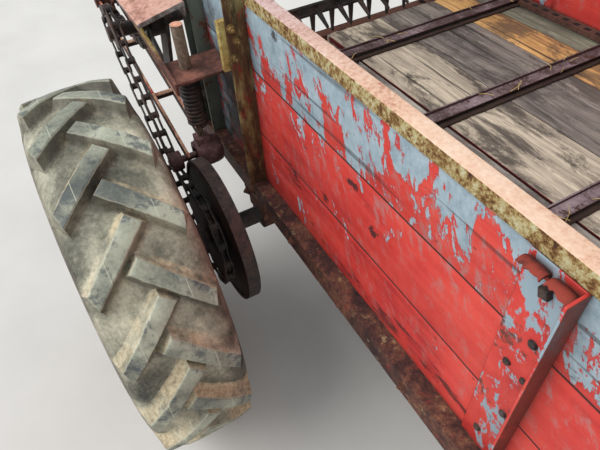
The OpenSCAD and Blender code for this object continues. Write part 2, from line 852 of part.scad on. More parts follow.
// A corner of a lug: its run round the tyre, its place across it and its radius
function corner(run, y, r) = let (a = run / tyre_r * 180 / PI) [r * cos(a), y, r * sin(a)];
// A lug runs from just past the tread's middle to the shoulder at 45 degrees, wider at its foot than at its top
lug_over = 16;
lug_out = tread_w / 2 - 10;
lug_sink = 12;
module lug() {
    w = lug_w * sqrt(2) / 4;
    long = lug_out + lug_over;
    foot = 1.45;
    polyhedron(
        points = [
            corner(w, w - lug_over, tyre_r), corner(-w, -w - lug_over, tyre_r),
            corner(-long - lug_w / 2, lug_out - 3, tyre_r), corner(-long + lug_w / 2, lug_out + 4, tyre_r),
            corner(w * foot, w * foot - lug_over, tread_r - lug_sink),
            corner(-w * foot, -w * foot - lug_over, tread_r - lug_sink),
            corner(-long - lug_w / 2 * foot, tread_w / 2 + 2, tread_r - 3 * lug_sink),
            corner(-long + lug_w / 2 * foot, tread_w / 2 + 4, tread_r - 3 * lug_sink)
        ],
        faces = [
            [0, 2, 1], [0, 3, 2], [4, 5, 6], [4, 6, 7], [0, 1, 5], [0, 5, 4],
            [1, 2, 6], [1, 6, 5], [2, 3, 7], [2, 7, 6], [3, 0, 4], [3, 4, 7]
        ]);
}

// An outline of radius and y, turned round the wheel's axis in flat steps
module flat_ring(outline, n) {
    m = len(outline);
    polyhedron(
        points = [for (i = [0:n - 1], p = outline) [p.x * cos(i * 360 / n), p.y, p.x * sin(i * 360 / n)]],
        faces = [
            for (i = [0:n - 1], j = [0:m - 1])
                let (k = (i + 1) % n, l = (j + 1) % m) [i * m + j, i * m + l, k * m + l, k * m + j]
        ]);
}

// Half of a tyre's outline, from its bead to its tread: radius, and share of the tyre's width
wall = [[bead_r / cos(180 / tyre_steps), 0.33], [bead_r + 65, 0.475], [tread_r - 52, 0.5], [tread_r - 6, 0.38]];
lug_first = 5.5;
module tyre_left() {
    rows = [[-1, lug_first], [1, lug_first + 180 / lug_count]];
    last = len(wall) - 1;
    color(rubber) at_axle() translate([0, wheel_y, axle_z]) {
        flat_ring([
            for (p = wall) [p.x, p.y * tyre_w],
            for (i = [last:-1:0]) [wall[i].x, -wall[i].y * tyre_w]
        ], tyre_steps);
        for (row = rows, i = [0:lug_count - 1])
            rotate([0, -row[1] - i * 360 / lug_count, 0]) scale([1, row[0], 1]) lug();
    }
}

module tyre_right() {
    mirror([0, 1, 0]) tyre_left();
}

// The rim's flanges stand up outside the tyre's beads
rim_w = tyre_w * 0.66 + 24;
flange = 6;
flange_h = 8;
module rim_left() {
    color([0.5, 0.3, 0.22]) at_axle() translate([0, wheel_y, axle_z]) difference() {
        union() {
            rotate([90, 0, 0]) difference() {
                union() {
                    cylinder(r = bead_r - seat, h = rim_w, center = true);
                    for (z = [-rim_w / 2, rim_w / 2 - flange])
                        translate([0, 0, z]) cylinder(r = bead_r + flange_h, h = flange);
                }
                cylinder(r = bead_r - 12, h = rim_w + 20, center = true);
            }
            rotate([90, 0, 0]) cylinder(r = bead_r - 5, h = 10, center = true);
        }
        rotate([90, 0, 0]) cylinder(r = hub_r + seat, h = 40, center = true);
    }
}

module rim_right() {
    mirror([0, 1, 0]) rim_left();
}

module hub_left() {
    color(dark) at_axle() difference() {
        union() {
            rod_y(hub_r, hub_inner, hub_outer, 0, axle_z);
            rod_y(hub_r + 50, wheel_y + 5 + seat, wheel_y + 18, 0, axle_z);
            rod_y(hub_r + 45, hub_inner, hub_inner + 60, 0, axle_z);
        }
        rod_y(axle_d / 2 + run_gap, hub_inner - 10, hub_outer + 10, 0, axle_z);
    }
}

module hub_right() {
    mirror([0, 1, 0]) hub_left();
}

// Rotors
rotor_half = half - 30;
module tines(bars, bar_r, tip_r, first) {
    n = floor((2 * rotor_half - 60) / tine_pitch);
    for (k = [0:bars - 1]) rotate([0, -first - k * 360 / bars, 0]) {
        translate([bar_r - 4, -rotor_half, -20]) cube([8, 2 * rotor_half, 40]);
        for (i = [0:n - 1]) translate([0, (i - (n - 1) / 2 + (k % 2 - 0.5) / 2) * tine_pitch, 0])
            linear_extrude(8, center = true) polygon([
                [bar_r, -tine_w / 2], [bar_r, tine_w / 2], [tip_r, tine_w / 6], [tip_r, -tine_w / 6]
            ]);
    }
}

module spider(bars, bar_r, y, first) {
    plate_y(y - 4, y + 4) {
        circle(r = rotor_shaft_d / 2 + 24);
        for (k = [0:bars - 1]) rotate(first + k * 360 / bars)
            translate([0, -14]) square([bar_r - 2, 28]);
    }
}

module main_beater() {
    first = -27;
    color(rust) at_axle() {
        rod_y(rotor_shaft_d / 2, -main_chain_y - 20, upper_chain_y + 20, -main_x, main_z);
        on_axis(-main_x, main_z) {
            for (y = [-rotor_half + 10, 0, rotor_half - 10]) spider(6, main_bar_r, y, first);
            tines(6, main_bar_r, main_r, first);
        }
        sprocket(8, main_mid_r - bite(main_mid_r, main_pitch) - tooth_gap, -main_chain_y, -main_x, main_z);
        sprocket(9, fan_mid_r - bite(fan_mid_r, short_pitch) - tooth_gap, -fan_chain_y, -main_x, main_z);
        sprocket(9, fan_mid_r - bite(fan_mid_r, short_pitch) - tooth_gap, upper_chain_y, -main_x, main_z);
    }
}

module upper_beater() {
    color(rust) at_axle() {
        rod_y(rotor_shaft_d / 2, -sill_out - bearing_l - 10, upper_chain_y + 20, -upper_x, upper_z);
        on_axis(-upper_x, upper_z) {
            for (y = [-rotor_half + 10, 0, rotor_half - 10]) spider(4, upper_bar_r, y, 20);
            tines(4, upper_bar_r, upper_r, 20);
        }
        sprocket(8, upper_mid_r - bite(upper_mid_r, short_pitch) - tooth_gap, upper_chain_y, -upper_x, upper_z);
    }
}

paddle_w = 90;
paddle_count = 9;
module distributor() {
    color(rust) at_axle() {
        rod_y(rotor_shaft_d / 2, -arm_out - arm_t - 9, sill_out + bearing_l + 10, -fan_x, fan_z);
        on_axis(-fan_x, fan_z) for (i = [0:paddle_count - 1], k = [0:1])
            translate([0, (i - (paddle_count - 1) / 2) * (2 * rotor_half - 100) / paddle_count, 0])
                rotate([0, i * 40 + k * 180, 0]) rotate([i < paddle_count / 2 ? 35 : -35, 0, 0])
                    translate([0, -paddle_w / 2, -3]) cube([fan_r - paddle_trim, paddle_w, 6]);
        sprocket(9, fan_mid_r - bite(fan_mid_r, short_pitch) - tooth_gap, -fan_chain_y, -fan_x, fan_z);
    }
}

sills();
cross_ties();
deck_bearers();
deck_boards();
planks_right();
planks_left();
top_rails();
posts();
stakes();
front_boards();
uprights();
beater_frame_right();
beater_frame_left();
apron_chains();
apron_slats();
apron_rear_shaft();
apron_front_shaft();
axle();
axle_brackets();
drive_drum();
main_chain();
fan_chain();
upper_chain();
chain_tighteners();
tension_plate();
tension_rod();
tension_spring();
idler();
drive_arm();
chain_guard();
feed_drive();
drawbar();
hitch();
stand_bracket();
stand();
levers();
tyre_right();
rim_right();
hub_right();
tyre_left();
rim_left();
hub_left();
main_beater();
upper_beater();
distributor();
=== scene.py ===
"""Looks for the manure spreader: weathered paint, rust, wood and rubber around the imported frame."""
import json
import random
from functools import reduce
from math import asin, atan2, cos, dist, hypot, pi, radians, sin, sqrt

import bmesh
import bpy
from mathutils import Matrix, Vector

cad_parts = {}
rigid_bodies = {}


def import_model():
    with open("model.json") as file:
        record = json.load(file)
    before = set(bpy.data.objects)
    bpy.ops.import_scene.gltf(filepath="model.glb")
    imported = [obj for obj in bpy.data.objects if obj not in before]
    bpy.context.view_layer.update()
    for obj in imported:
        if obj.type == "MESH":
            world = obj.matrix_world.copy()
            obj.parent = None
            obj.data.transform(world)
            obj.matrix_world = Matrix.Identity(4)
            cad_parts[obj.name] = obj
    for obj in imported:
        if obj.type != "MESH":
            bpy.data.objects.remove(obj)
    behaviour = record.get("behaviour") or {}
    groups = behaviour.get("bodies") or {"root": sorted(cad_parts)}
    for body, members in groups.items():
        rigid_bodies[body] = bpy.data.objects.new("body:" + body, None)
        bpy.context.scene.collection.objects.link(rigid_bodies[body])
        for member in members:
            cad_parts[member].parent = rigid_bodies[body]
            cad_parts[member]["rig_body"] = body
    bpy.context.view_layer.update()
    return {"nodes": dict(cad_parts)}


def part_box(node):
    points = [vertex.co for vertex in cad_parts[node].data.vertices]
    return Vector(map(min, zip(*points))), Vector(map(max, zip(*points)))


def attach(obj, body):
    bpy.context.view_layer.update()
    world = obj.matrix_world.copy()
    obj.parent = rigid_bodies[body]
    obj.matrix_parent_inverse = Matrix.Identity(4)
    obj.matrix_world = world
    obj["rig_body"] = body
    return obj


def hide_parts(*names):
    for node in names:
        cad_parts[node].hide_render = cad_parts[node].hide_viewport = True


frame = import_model()
nodes = frame["nodes"]
AXLE = sum(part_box("axle"), Vector()) / 2


# Colours are given as numbers up to 255, and nodes take them in linear light
def rgb(colour):
    shares = (c / 255 for c in colour)
    return (*(c / 12.92 if c <= 0.04045 else ((c + 0.055) / 1.055) ** 2.4 for c in shares), 1)


RED = (200, 55, 48)
RED_DEEP = (162, 34, 34)
RED_BRIGHT = (216, 74, 62)
PRIMER = (144, 162, 172)
PRIMER_PALE = (172, 188, 196)
RUST_DARK = (52, 34, 30)
RUST = (104, 66, 52)
RUST_ORANGE = (165, 96, 54)
RUST_PINK = (228, 184, 166)
RUST_LILAC = (138, 118, 122)
IRON = (40, 36, 36)
IRON_BROWN = (78, 60, 52)
IRON_GREY = (92, 88, 88)
GREEN_GREY = (92, 98, 90)
WOOD_GREY = (134, 126, 118)
WOOD_DARK = (74, 66, 62)
# Dark tone for dirt and stains, also used as painted shade in corners and openings
GRIME_AND_SHADE = (34, 28, 26)


class Shade:
    """A material being built; most calls add a node and return its output socket."""

    def __init__(self, name, bump=0.4):
        self.mat = bpy.data.materials.new(name)
        self.mat.use_nodes = True
        self.tree = self.mat.node_tree
        self.coords = self.tree.nodes.new("ShaderNodeTexCoord").outputs
        self.place = self.coords["Object"]
        self.bump = bump

    def fill(self, node, inputs):
        """Links or sets each of these inputs of a node."""
        for name, value in inputs.items():
            if isinstance(value, bpy.types.NodeSocket):
                self.tree.links.new(value, node.inputs[name])
            else:
                node.inputs[name].default_value = value

    def node(self, kind, inputs, **values):
        made = self.tree.nodes.new("ShaderNode" + kind)
        for name, value in values.items():
            setattr(made, name, value)
        self.fill(made, inputs)
        return made

    def vector(self, kind, **inputs):
        return self.node(kind, inputs).outputs["Vector"]

    def mapped(self, scale, shift, lean=0.0):
        """The place in the part, scaled and shifted; lean first turns it about Y, in degrees."""
        place = self.place
        if lean:
            place = self.vector("Mapping", Vector=place, Rotation=(0, radians(lean), 0))
        return self.vector("Mapping", Vector=place, Scale=scale, Location=shift)

    def noise(self, scale, detail, rough=0.55, twist=0.0, stretch=(1, 1, 1), shift=(0, 0, 0), lean=0.0,
              at=None):
        """Layered noise, over the part's own place or over the vector at."""
        inputs = {"Vector": self.mapped(stretch, shift, lean) if at is None else at, "Scale": scale,
                  "Detail": detail, "Roughness": rough, "Distortion": twist}
        return self.node("TexNoise", inputs).outputs["Fac"]

    def cells(self, scale, stretch=(1, 1, 1), shift=(0, 0, 0)):
        inputs = {"Vector": self.mapped(stretch, shift), "Scale": scale}
        return self.node("TexVoronoi", inputs).outputs["Distance"]

    def axis(self, name, normal=False):
        source = self.coords["Normal"] if normal else self.place
        return self.node("SeparateXYZ", {"Vector": source}).outputs[name]

    def calc(self, operation, *terms):
        """The terms taken together two at a time from the left; SQRT and the like take one."""
        def pair(a, b=0.0):
            return self.node("Math", {0: a, 1: b}, operation=operation).outputs[0]
        return reduce(pair, terms) if len(terms) > 1 else pair(terms[0])

    def add(self, *terms):
        return self.calc("ADD", *terms)

    def less(self, a, b):
        return self.calc("SUBTRACT", a, b)

    def times(self, a, b):
        return self.calc("MULTIPLY", a, b)

    def most(self, *terms):
        return self.calc("MAXIMUM", *terms)

    def sway(self, noise, reach):
        """Noise brought round 0 and scaled."""
        return self.times(self.add(noise, -0.5), reach)

    def size(self, value):
        return self.calc("ABSOLUTE", value)

    def far(self, a, b):
        """Distance from a middle that lies a and b away."""
        return self.calc("SQRT", self.add(self.times(a, a), self.times(b, b)))

    def weigh(self, *pairs):
        """Sum of values, each given with its weight."""
        return self.add(*(self.times(value, weight) for value, weight in pairs))

    def ease(self, value, low, high):
        """0 below low, 1 above high, with a soft turn between them; low may be the larger."""
        inputs = {"Value": value, "From Min": low, "From Max": high}
        return self.node("MapRange", inputs, interpolation_type="SMOOTHSTEP").outputs["Result"]

    def facing_up(self, low, high, below=False):
        """1 on faces that look up, and with below on those that look down too."""
        slope = self.axis("Z", normal=True)
        return self.ease(self.size(slope) if below else slope, low, high)

    def mix(self, share, a, b):
        """From a, at share 0, to b; each is a socket or three numbers."""
        a, b = (rgb(c) if isinstance(c, tuple) else c for c in (a, b))
        return self.node("Mix", {"Factor": share, "A": a, "B": b}, data_type="RGBA").outputs["Result"]

    def ramp(self, value, *stops):
        n = self.node("ValToRGB", {"Fac": value})
        line = n.color_ramp.elements
        while len(line) < len(stops):
            line.new(0.5)
        for element, (at, colour) in zip(line, stops):
            element.position = at
            element.color = rgb(colour)
        return n.outputs["Color"]

    def corner(self, reach):
        """1 in corners and under ledges, 0 in the open."""
        return self.less(1.0, self.node("AmbientOcclusion", {"Distance": reach}, samples=6).outputs["AO"])

    def grime_and_corner_shade(self, colour, reach, low, high):
        """The colour darkened in its corners, by grime and by painted shade."""
        return self.mix(self.ease(self.corner(reach), low, high), colour, GRIME_AND_SHADE)

    def finish(self, colour, rough, height=None, depth=0.002, spec=0.5):
        inputs = {"Base Color": colour, "Roughness": rough, "Specular IOR Level": spec}
        if height is not None:
            bump = self.node("Bump", {"Strength": self.bump, "Distance": depth, "Height": height})
            inputs["Normal"] = bump.outputs["Normal"]
        self.fill(self.tree.nodes["Principled BSDF"], inputs)
        return self.mat


# Heights that the paint follows
PLANKS_LOW, PLANKS_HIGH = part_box("planks_right")
PLANK_PITCH = 0.183
FIRST_JOINT = PLANKS_HIGH.z - PLANK_PITCH
# A lug's top is level as far as its shoulder, then drops by this much a metre
SHOULDER = 0.063
SHOULDER_DROP = 0.17
TYRE_R = 0.49


def rust_colour(s, scale, dark=RUST_DARK, mid=RUST, bright=RUST_ORANGE):
    """Three rust tones in blotches, with fine pits over them; also gives the height of the pits."""
    both = s.weigh((s.noise(9 * scale, 8, 0.65, 0.4), 0.62), (s.noise(70 * scale, 6, 0.7), 0.38))
    colour = s.ramp(both, (0.34, dark), (0.5, mid), (0.6, mid), (0.72, bright))
    return colour, both


# Dark stains round old bolts on the planks: distance ahead of the axle, height, reach
STAINS = ((0.14, 1.089, 0.011), (0.433, 0.915, 0.012), (0.329, 0.793, 0.009), (0.19, 0.76, 0.007),
          (0.505, 0.844, 0.011))


def painted_wood():
    s = Shade("paint_red_peeling", 0.55)
    x, z = s.axis("X"), s.axis("Z")
    # Ragged flakes that lean forward as they run down, most of them high up and towards the rear
    flakes = s.noise(1, 10, 0.68, 0.35, stretch=(26, 26, 11), shift=(0.4, 0, 2.3), lean=18)
    fray = s.noise(1, 6, 0.75, 0.3, stretch=(95, 95, 48), lean=18)
    patches = s.noise(2.6, 3, 0.5, shift=(3.1, 0, 1.3))
    up = s.ease(z, FIRST_JOINT + 0.004, PLANKS_HIGH.z - 0.012)
    top = s.ease(z, FIRST_JOINT - 0.001, FIRST_JOINT + 0.001)
    rear = s.ease(x, AXLE.x + 0.72, AXLE.x + 0.3)
    behind = s.ease(x, AXLE.x - 0.03, AXLE.x - 0.06)
    middle = s.ease(z, FIRST_JOINT - PLANK_PITCH * 0.75, FIRST_JOINT)
    on_top = s.add(s.times(up, 0.1), s.times(rear, 0.045), -0.062)
    below = s.add(s.times(s.times(middle, rear), 0.06), -0.155)
    level = s.add(flakes, s.times(top, on_top), s.times(s.less(1.0, top), below),
                  s.times(behind, 0.13), s.sway(patches, 0.24), s.sway(fray, 0.3))
    bare = s.ease(level, 0.495, 0.508)
    edge = s.less(s.ease(level, 0.465, 0.497), bare)
    # Red, faded in clouds and in streaks along the grain, with dull scuffs
    grain = s.noise(14, 8, 0.7, stretch=(0.12, 1, 2.6))
    cloud = s.noise(3.4, 6, 0.65)
    red = s.ramp(s.weigh((cloud, 0.6), (grain, 0.4)), (0.36, RED_DEEP), (0.48, RED), (0.62, RED_BRIGHT))
    scuff = s.ease(s.noise(1, 8, 0.75, 0.2, stretch=(46, 46, 20), shift=(1, 0, 7), lean=24), 0.5, 0.64)
    red = s.mix(s.times(scuff, s.add(0.3, s.times(middle, 0.36))), red, (160, 128, 124))
    blue = s.ramp(s.weigh((s.noise(16, 7, 0.65), 0.6), (fray, 0.4)), (0.34, (116, 130, 140)),
                  (0.46, PRIMER), (0.62, PRIMER_PALE))
    colour = s.mix(bare, s.mix(s.times(edge, 0.55), red, RED_DEEP), blue)
    # Black specks, cracks and splashes along the grain, grime in joints, grime and painted shade in corners,
    # painted shade on the planks behind the post, and old bolts' stains
    specks = s.ease(s.cells(34, (0.5, 1, 1)), 0.085, 0.045)
    cracks = s.ease(s.noise(26, 3, 0.5, stretch=(0.035, 1, 2.2), shift=(0, 4, 0)), 0.64, 0.7)
    low = s.ease(z, PLANKS_LOW.z + 0.16, PLANKS_LOW.z + 0.01)
    splash = s.ease(s.add(s.noise(15, 8, 0.75, 0.3, stretch=(0.35, 1, 1.5)), s.times(low, 0.1)), 0.62, 0.7)
    dirt_and_shade = s.most(s.times(cracks, 0.6), s.times(splash, 0.8), s.times(specks, 0.6),
                  s.ease(s.corner(0.02), 0.3, 0.9))
    wander = s.sway(s.noise(14, 5, 0.6, shift=(9, 0, 0)), 0.0045)
    for joint in (FIRST_JOINT, FIRST_JOINT - PLANK_PITCH):
        off = s.size(s.add(z, -joint, wander))
        dirt_and_shade = s.most(dirt_and_shade, s.times(s.ease(off, 0.0034, 0.0013), 0.93))
    # Painted shade: the planks behind the post are darkened in clouds
    dirt_and_shade = s.most(dirt_and_shade, s.times(behind, s.ease(cloud, 0.44, 0.6)))
    ragged = s.sway(s.noise(42, 7, 0.75, shift=(2, 2, 2)), 0.09)
    for run, height, reach in STAINS:
        dx, dz = s.times(s.add(x, -AXLE.x - run), 0.75), s.add(z, -height)
        off = s.add(s.far(dx, dz), ragged)
        dirt_and_shade = s.most(dirt_and_shade, s.times(s.ease(off, reach, reach * 0.55), 0.88))
    colour = s.mix(dirt_and_shade, colour, GRIME_AND_SHADE)
    height = s.less(s.times(grain, 0.5), s.times(bare, 0.45))
    rough = s.add(s.ease(s.noise(30, 5), 0.0, 1.6), 0.42)
    return s.finish(colour, rough, height, 0.0015)


def painted_steel():
    s = Shade("paint_red_steel", 0.4)
    flakes = s.noise(1, 10, 0.68, 0.4, stretch=(17, 17, 10), shift=(1.2, 0, 0.4), lean=18)
    fray = s.noise(1, 6, 0.75, 0.3, stretch=(80, 80, 44), lean=18)
    level = s.weigh((flakes, 0.76), (fray, 0.24))
    high = s.ease(s.axis("Z"), 0.8, 1.0)
    faces_on = s.ease(s.size(s.axis("X", normal=True)), 0.4, 0.8)
    bare = s.ease(s.add(level, s.times(high, 0.03), s.times(faces_on, -0.07)), 0.55, 0.562)
    rusty, pits = rust_colour(s, 1.2)
    spots = s.ease(s.noise(22, 8, 0.75, shift=(5, 1, 0)), 0.57, 0.62)
    red = s.ramp(s.noise(6, 8, 0.7), (0.36, RED_DEEP), (0.5, RED), (0.64, RED_BRIGHT))
    colour = s.mix(bare, red, PRIMER)
    wear = s.times(faces_on, s.ease(s.noise(12, 8, 0.7, shift=(2, 2, 9)), 0.3, 0.44))
    wear = s.most(wear, s.most(spots, s.ease(s.corner(0.02), 0.3, 0.8)))
    colour = s.mix(s.times(wear, 0.92), colour, s.mix(0.45, rusty, (84, 36, 32)))
    return s.finish(colour, 0.52, s.less(s.times(pits, 0.4), s.times(bare, 0.3)), 0.001)


def worn_rail():
    s = Shade("steel_rail_worn", 0.5)
    up = s.facing_up(0.55, 0.8)
    speck = s.noise(120, 6, 0.75)
    cloud = s.noise(5, 5, 0.6)
    level = s.weigh((cloud, 0.5), (speck, 0.5))
    forward = s.ease(s.axis("X"), AXLE.x, AXLE.x + 0.6)
    pink = s.ramp(level, (0.38, (136, 92, 88)), (0.48, (190, 154, 148)), (0.6, (214, 190, 188)))
    cream = s.ramp(level, (0.38, (176, 118, 92)), (0.48, (220, 178, 150)), (0.62, (234, 204, 180)))
    top = s.mix(forward, pink, cream)
    top = s.mix(s.times(s.ease(s.cells(130), 0.1, 0.03), 0.55), top, RUST)
    blotch = s.weigh((s.noise(1, 8, 0.8, stretch=(70, 70, 60), lean=-30), 0.7), (speck, 0.3))
    side = s.ramp(blotch, (0.39, (60, 38, 24)), (0.46, (116, 80, 44)), (0.515, (164, 142, 92)),
                  (0.58, (190, 184, 148)))
    colour = s.mix(up, side, top)
    return s.finish(colour, 0.8, s.weigh((blotch, 0.7), (speck, 0.3)), 0.001, spec=0.3)


def rusty_steel(name="steel_rust", bright=RUST_ORANGE, mid=RUST, dark=RUST_DARK):
    s = Shade(name, 0.55)
    colour, pits = rust_colour(s, 1.3, dark, mid, bright)
    colour = s.grime_and_corner_shade(colour, 0.05, 0.3, 0.95)
    return s.finish(colour, 0.82, pits, 0.0015, spec=0.3)


def sill_steel():
    """Nearly black rust with red paint left on it, and olive scale along its edges."""
    s = Shade("steel_sill", 0.7)
    level = s.weigh((s.noise(13, 9, 0.72, 0.4), 0.6), (s.noise(80, 6, 0.75), 0.4))
    colour = s.ramp(level, (0.36, (30, 20, 20)), (0.47, (64, 38, 34)), (0.55, (100, 62, 48)),
                    (0.66, (150, 110, 76)))
    paint = s.ease(s.noise(26, 9, 0.75, shift=(8, 1, 1)), 0.59, 0.62)
    colour = s.mix(s.times(paint, 0.8), colour, (120, 40, 36))
    scale = s.ease(s.noise(34, 9, 0.78, shift=(1, 8, 3)), 0.585, 0.63)
    colour = s.mix(s.times(scale, 0.7), colour, (158, 136, 100))
    return s.finish(colour, 0.75, level, 0.003, spec=0.35)


def apron_iron():
    """Rusty links, with a row of openings along them painted dark as painted shade, and dark joints between
    the links.
    """
    s = Shade("iron_apron_chain", 0.6)
    colour, pits = rust_colour(s, 1.6, mid=(92, 62, 52), bright=(150, 104, 84))
    wide, pitch = 0.036, 0.0415
    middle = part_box("apron_chains")[1].y - wide / 2
    step = s.calc("FRACT", s.calc("DIVIDE", s.axis("X"), pitch))
    along = s.ease(s.size(s.add(step, -0.5)), 0.3, 0.24)
    off = s.size(s.add(s.size(s.axis("Y")), -middle))
    across = s.ease(off, wide * 0.3, wide * 0.22)
    up = s.facing_up(0.6, 0.8, below=True)
    # The openings are painted shade, dark and pressed in by the bump
    painted_hole_shade = s.times(s.times(along, across), up)
    joint = s.times(s.ease(s.size(s.add(step, -0.5)), 0.455, 0.48), 0.7)
    colour = s.mix(s.most(painted_hole_shade, joint), colour, GRIME_AND_SHADE)
    return s.finish(colour, 0.8, s.add(pits, s.times(painted_hole_shade, -1.5)), 0.004, spec=0.3)


def rod_steel():
    s = Shade("steel_rod", 0.4)
    level = s.weigh((s.noise(14, 7, 0.7, stretch=(1, 1, 0.4)), 0.6), (s.noise(90, 6, 0.7), 0.4))
    side = s.ramp(level, (0.36, (58, 48, 42)), (0.48, (112, 94, 80)), (0.62, (154, 138, 120)))
    top = s.ramp(level, (0.36, (170, 104, 80)), (0.6, (232, 172, 144)))
    return s.finish(s.mix(s.facing_up(0.6, 0.85), side, top), 0.7, level, 0.001, spec=0.35)


def boss_iron():
    s = Shade("iron_boss", 0.4)
    level = s.weigh((s.noise(14, 7, 0.7), 0.6), (s.noise(90, 6, 0.7), 0.4))
    colour = s.ramp(level, (0.36, (52, 34, 34)), (0.5, (98, 66, 64)), (0.64, (142, 108, 104)))
    colour = s.grime_and_corner_shade(colour, 0.03, 0.3, 0.9)
    return s.finish(colour, 0.6, level, 0.001, spec=0.45)


def arm_steel():
    s = Shade("steel_arm", 0.5)
    colour, pits = rust_colour(s, 1.4, mid=(66, 46, 40))
    up = s.facing_up(0.35, 0.7)
    worn = s.ramp(pits, (0.38, (120, 70, 52)), (0.48, (190, 140, 112)), (0.6, (214, 176, 150)))
    worn = s.mix(s.ease(s.noise(22, 7, 0.7, shift=(3, 3, 3)), 0.54, 0.6), worn, (176, 70, 56))
    return s.finish(s.mix(up, colour, worn), 0.72, pits, 0.001, spec=0.35)


def post_steel():
    s = Shade("steel_post_olive", 0.6)
    streak = s.noise(26, 8, 0.7, 0.3, stretch=(1, 1, 0.28))
    cloud = s.noise(5, 5, 0.6, shift=(1, 2, 3))
    level = s.weigh((streak, 0.6), (cloud, 0.4))
    colour = s.ramp(level, (0.38, RUST_DARK), (0.475, (90, 64, 42)), (0.55, (130, 116, 76)),
                    (0.66, (166, 160, 114)))
    flecks = s.ease(s.noise(1, 8, 0.75, 0.3, stretch=(60, 60, 22), shift=(4, 4, 4)), 0.56, 0.6)
    colour = s.mix(s.times(flecks, 0.8), colour, (132, 48, 40))
    dark = s.ease(s.noise(1, 7, 0.7, stretch=(40, 40, 12), shift=(9, 2, 4)), 0.54, 0.6)
    colour = s.mix(s.times(dark, 0.75), colour, (50, 42, 30))
    return s.finish(colour, 0.85, streak, 0.002, spec=0.25)


def green_steel():
    s = Shade("steel_grey_green", 0.45)
    cloud = s.noise(7, 7, 0.65, 0.3, stretch=(1, 1, 0.4))
    rusty, pits = rust_colour(s, 1.2)
    colour = s.ramp(cloud, (0.3, (56, 60, 56)), (0.5, GREEN_GREY), (0.7, (126, 130, 118)))
    colour = s.mix(s.ease(s.noise(12, 8, 0.7, shift=(4, 4, 0)), 0.54, 0.6), colour, rusty)
    return s.finish(colour, 0.75, pits, 0.001, spec=0.35)


def dark_iron(name="iron_dark", wear=0.5):
    s = Shade(name, 0.5)
    level = s.weigh((s.noise(12, 8, 0.7, 0.4), 0.65), (s.noise(90, 6, 0.7), 0.35))
    colour = s.ramp(level, (0.3, GRIME_AND_SHADE), (0.46, IRON), (0.56, IRON_BROWN), (0.72 - 0.06 * wear, RUST))
    rub = s.ease(s.noise(20, 6, 0.6, shift=(0, 3, 2)), 0.58, 0.68)
    colour = s.mix(s.times(rub, 0.5 * wear), colour, IRON_GREY)
    return s.finish(colour, 0.62, level, 0.001, spec=0.45)


def guard_steel():
    s = Shade("steel_guard_pink", 0.4)
    speck = s.noise(80, 6, 0.75)
    level = s.weigh((s.noise(8, 5, 0.6), 0.55), (speck, 0.45))
    up = s.facing_up(0.5, 0.85)
    top = s.ramp(level, (0.36, RUST), (0.47, (190, 142, 126)), (0.6, RUST_PINK))
    side = s.ramp(level, (0.36, (70, 60, 58)), (0.48, (120, 108, 104)), (0.62, (186, 178, 172)))
    return s.finish(s.mix(up, side, top), 0.8, speck, 0.001, spec=0.3)


def plate_steel():
    s = Shade("steel_plate_brown", 0.4)
    speck = s.noise(80, 6, 0.75)
    level = s.weigh((s.noise(10, 5, 0.6), 0.6), (speck, 0.4))
    colour = s.ramp(level, (0.34, (54, 36, 32)), (0.5, (96, 62, 54)), (0.64, (142, 92, 76)))
    ear = s.ramp(level, (0.36, (84, 58, 34)), (0.47, (150, 122, 66)), (0.6, (190, 176, 112)))
    colour = s.mix(s.ease(s.axis("Z"), 0.92, 0.95), colour, ear)
    return s.finish(colour, 0.75, speck, 0.001, spec=0.35)


def slat_steel():
    s = Shade("steel_slat_lilac", 0.5)
    up = s.facing_up(0.55, 0.8, below=True)
    level = s.weigh((s.noise(9, 6, 0.65), 0.6), (s.noise(110, 6, 0.75), 0.4))
    top = s.ramp(level, (0.36, RUST_DARK), (0.47, (92, 72, 72)), (0.56, RUST_LILAC), (0.66, (160, 142, 142)))
    side, _ = rust_colour(s, 1.5, dark=(38, 26, 26), mid=(66, 44, 40), bright=(150, 108, 76))
    top = s.mix(s.ease(s.noise(24, 8, 0.75, shift=(3, 3, 3)), 0.56, 0.6), top, (74, 50, 44))
    return s.finish(s.mix(up, side, top), 0.8, level, 0.0015, spec=0.3)


def board_wood(name, pale, mid, dark, stain=0.5, red=0.0, shift=(0, 0, 0)):
    """Weathered board in three tones of its own, with knots, smoky stains and its grain along the box."""
    s = Shade(name, 0.6)
    bend = s.sway(s.noise(5, 4, 0.6, 0.6, stretch=(0.5, 1, 1), shift=shift), 0.05)
    part = s.node("SeparateXYZ", {"Vector": s.mapped((0.03, 1, 1), shift)}).outputs
    grain = s.noise(90, 8, 0.7, at=s.vector("CombineXYZ", X=part["X"], Y=s.add(part["Y"], bend), Z=part["Z"]))
    cloud = s.noise(4.5, 8, 0.7, 0.4, stretch=(0.4, 1, 1), shift=shift)
    level = s.weigh((cloud, 0.5), (grain, 0.5))
    colour = s.ramp(level, (0.37, dark), (0.49, mid), (0.6, pale))
    smoke = s.ease(s.noise(7, 10, 0.78, 0.6, stretch=(0.42, 1, 1), shift=(shift[0] + 4, 2, 1)), 0.47, 0.575)
    colour = s.mix(s.times(smoke, stain), colour, (64, 54, 50))
    if red:
        rub = s.ease(s.noise(9, 8, 0.72, 0.5, stretch=(0.5, 1, 1), shift=(7, 1, 0)), 0.58, 0.68)
        colour = s.mix(s.times(rub, red), colour, (128, 66, 58))
    knots = s.ease(s.cells(5, (0.7, 1, 0), shift=shift), 0.085, 0.05)
    colour = s.mix(s.times(knots, 0.8), colour, (74, 52, 44))
    cracks = s.ease(s.noise(46, 3, 0.5, stretch=(0.03, 1, 1), shift=(2, 0, 5)), 0.62, 0.68)
    # Dark cracks are dirt; the corners are darkened by painted shade
    dirt_and_shade = s.most(s.times(cracks, 0.75), s.ease(s.corner(0.045), 0.2, 0.75))
    colour = s.mix(dirt_and_shade, colour, GRIME_AND_SHADE)
    return s.finish(colour, 0.72, s.less(grain, s.times(cracks, 0.6)), 0.0015, spec=0.35)


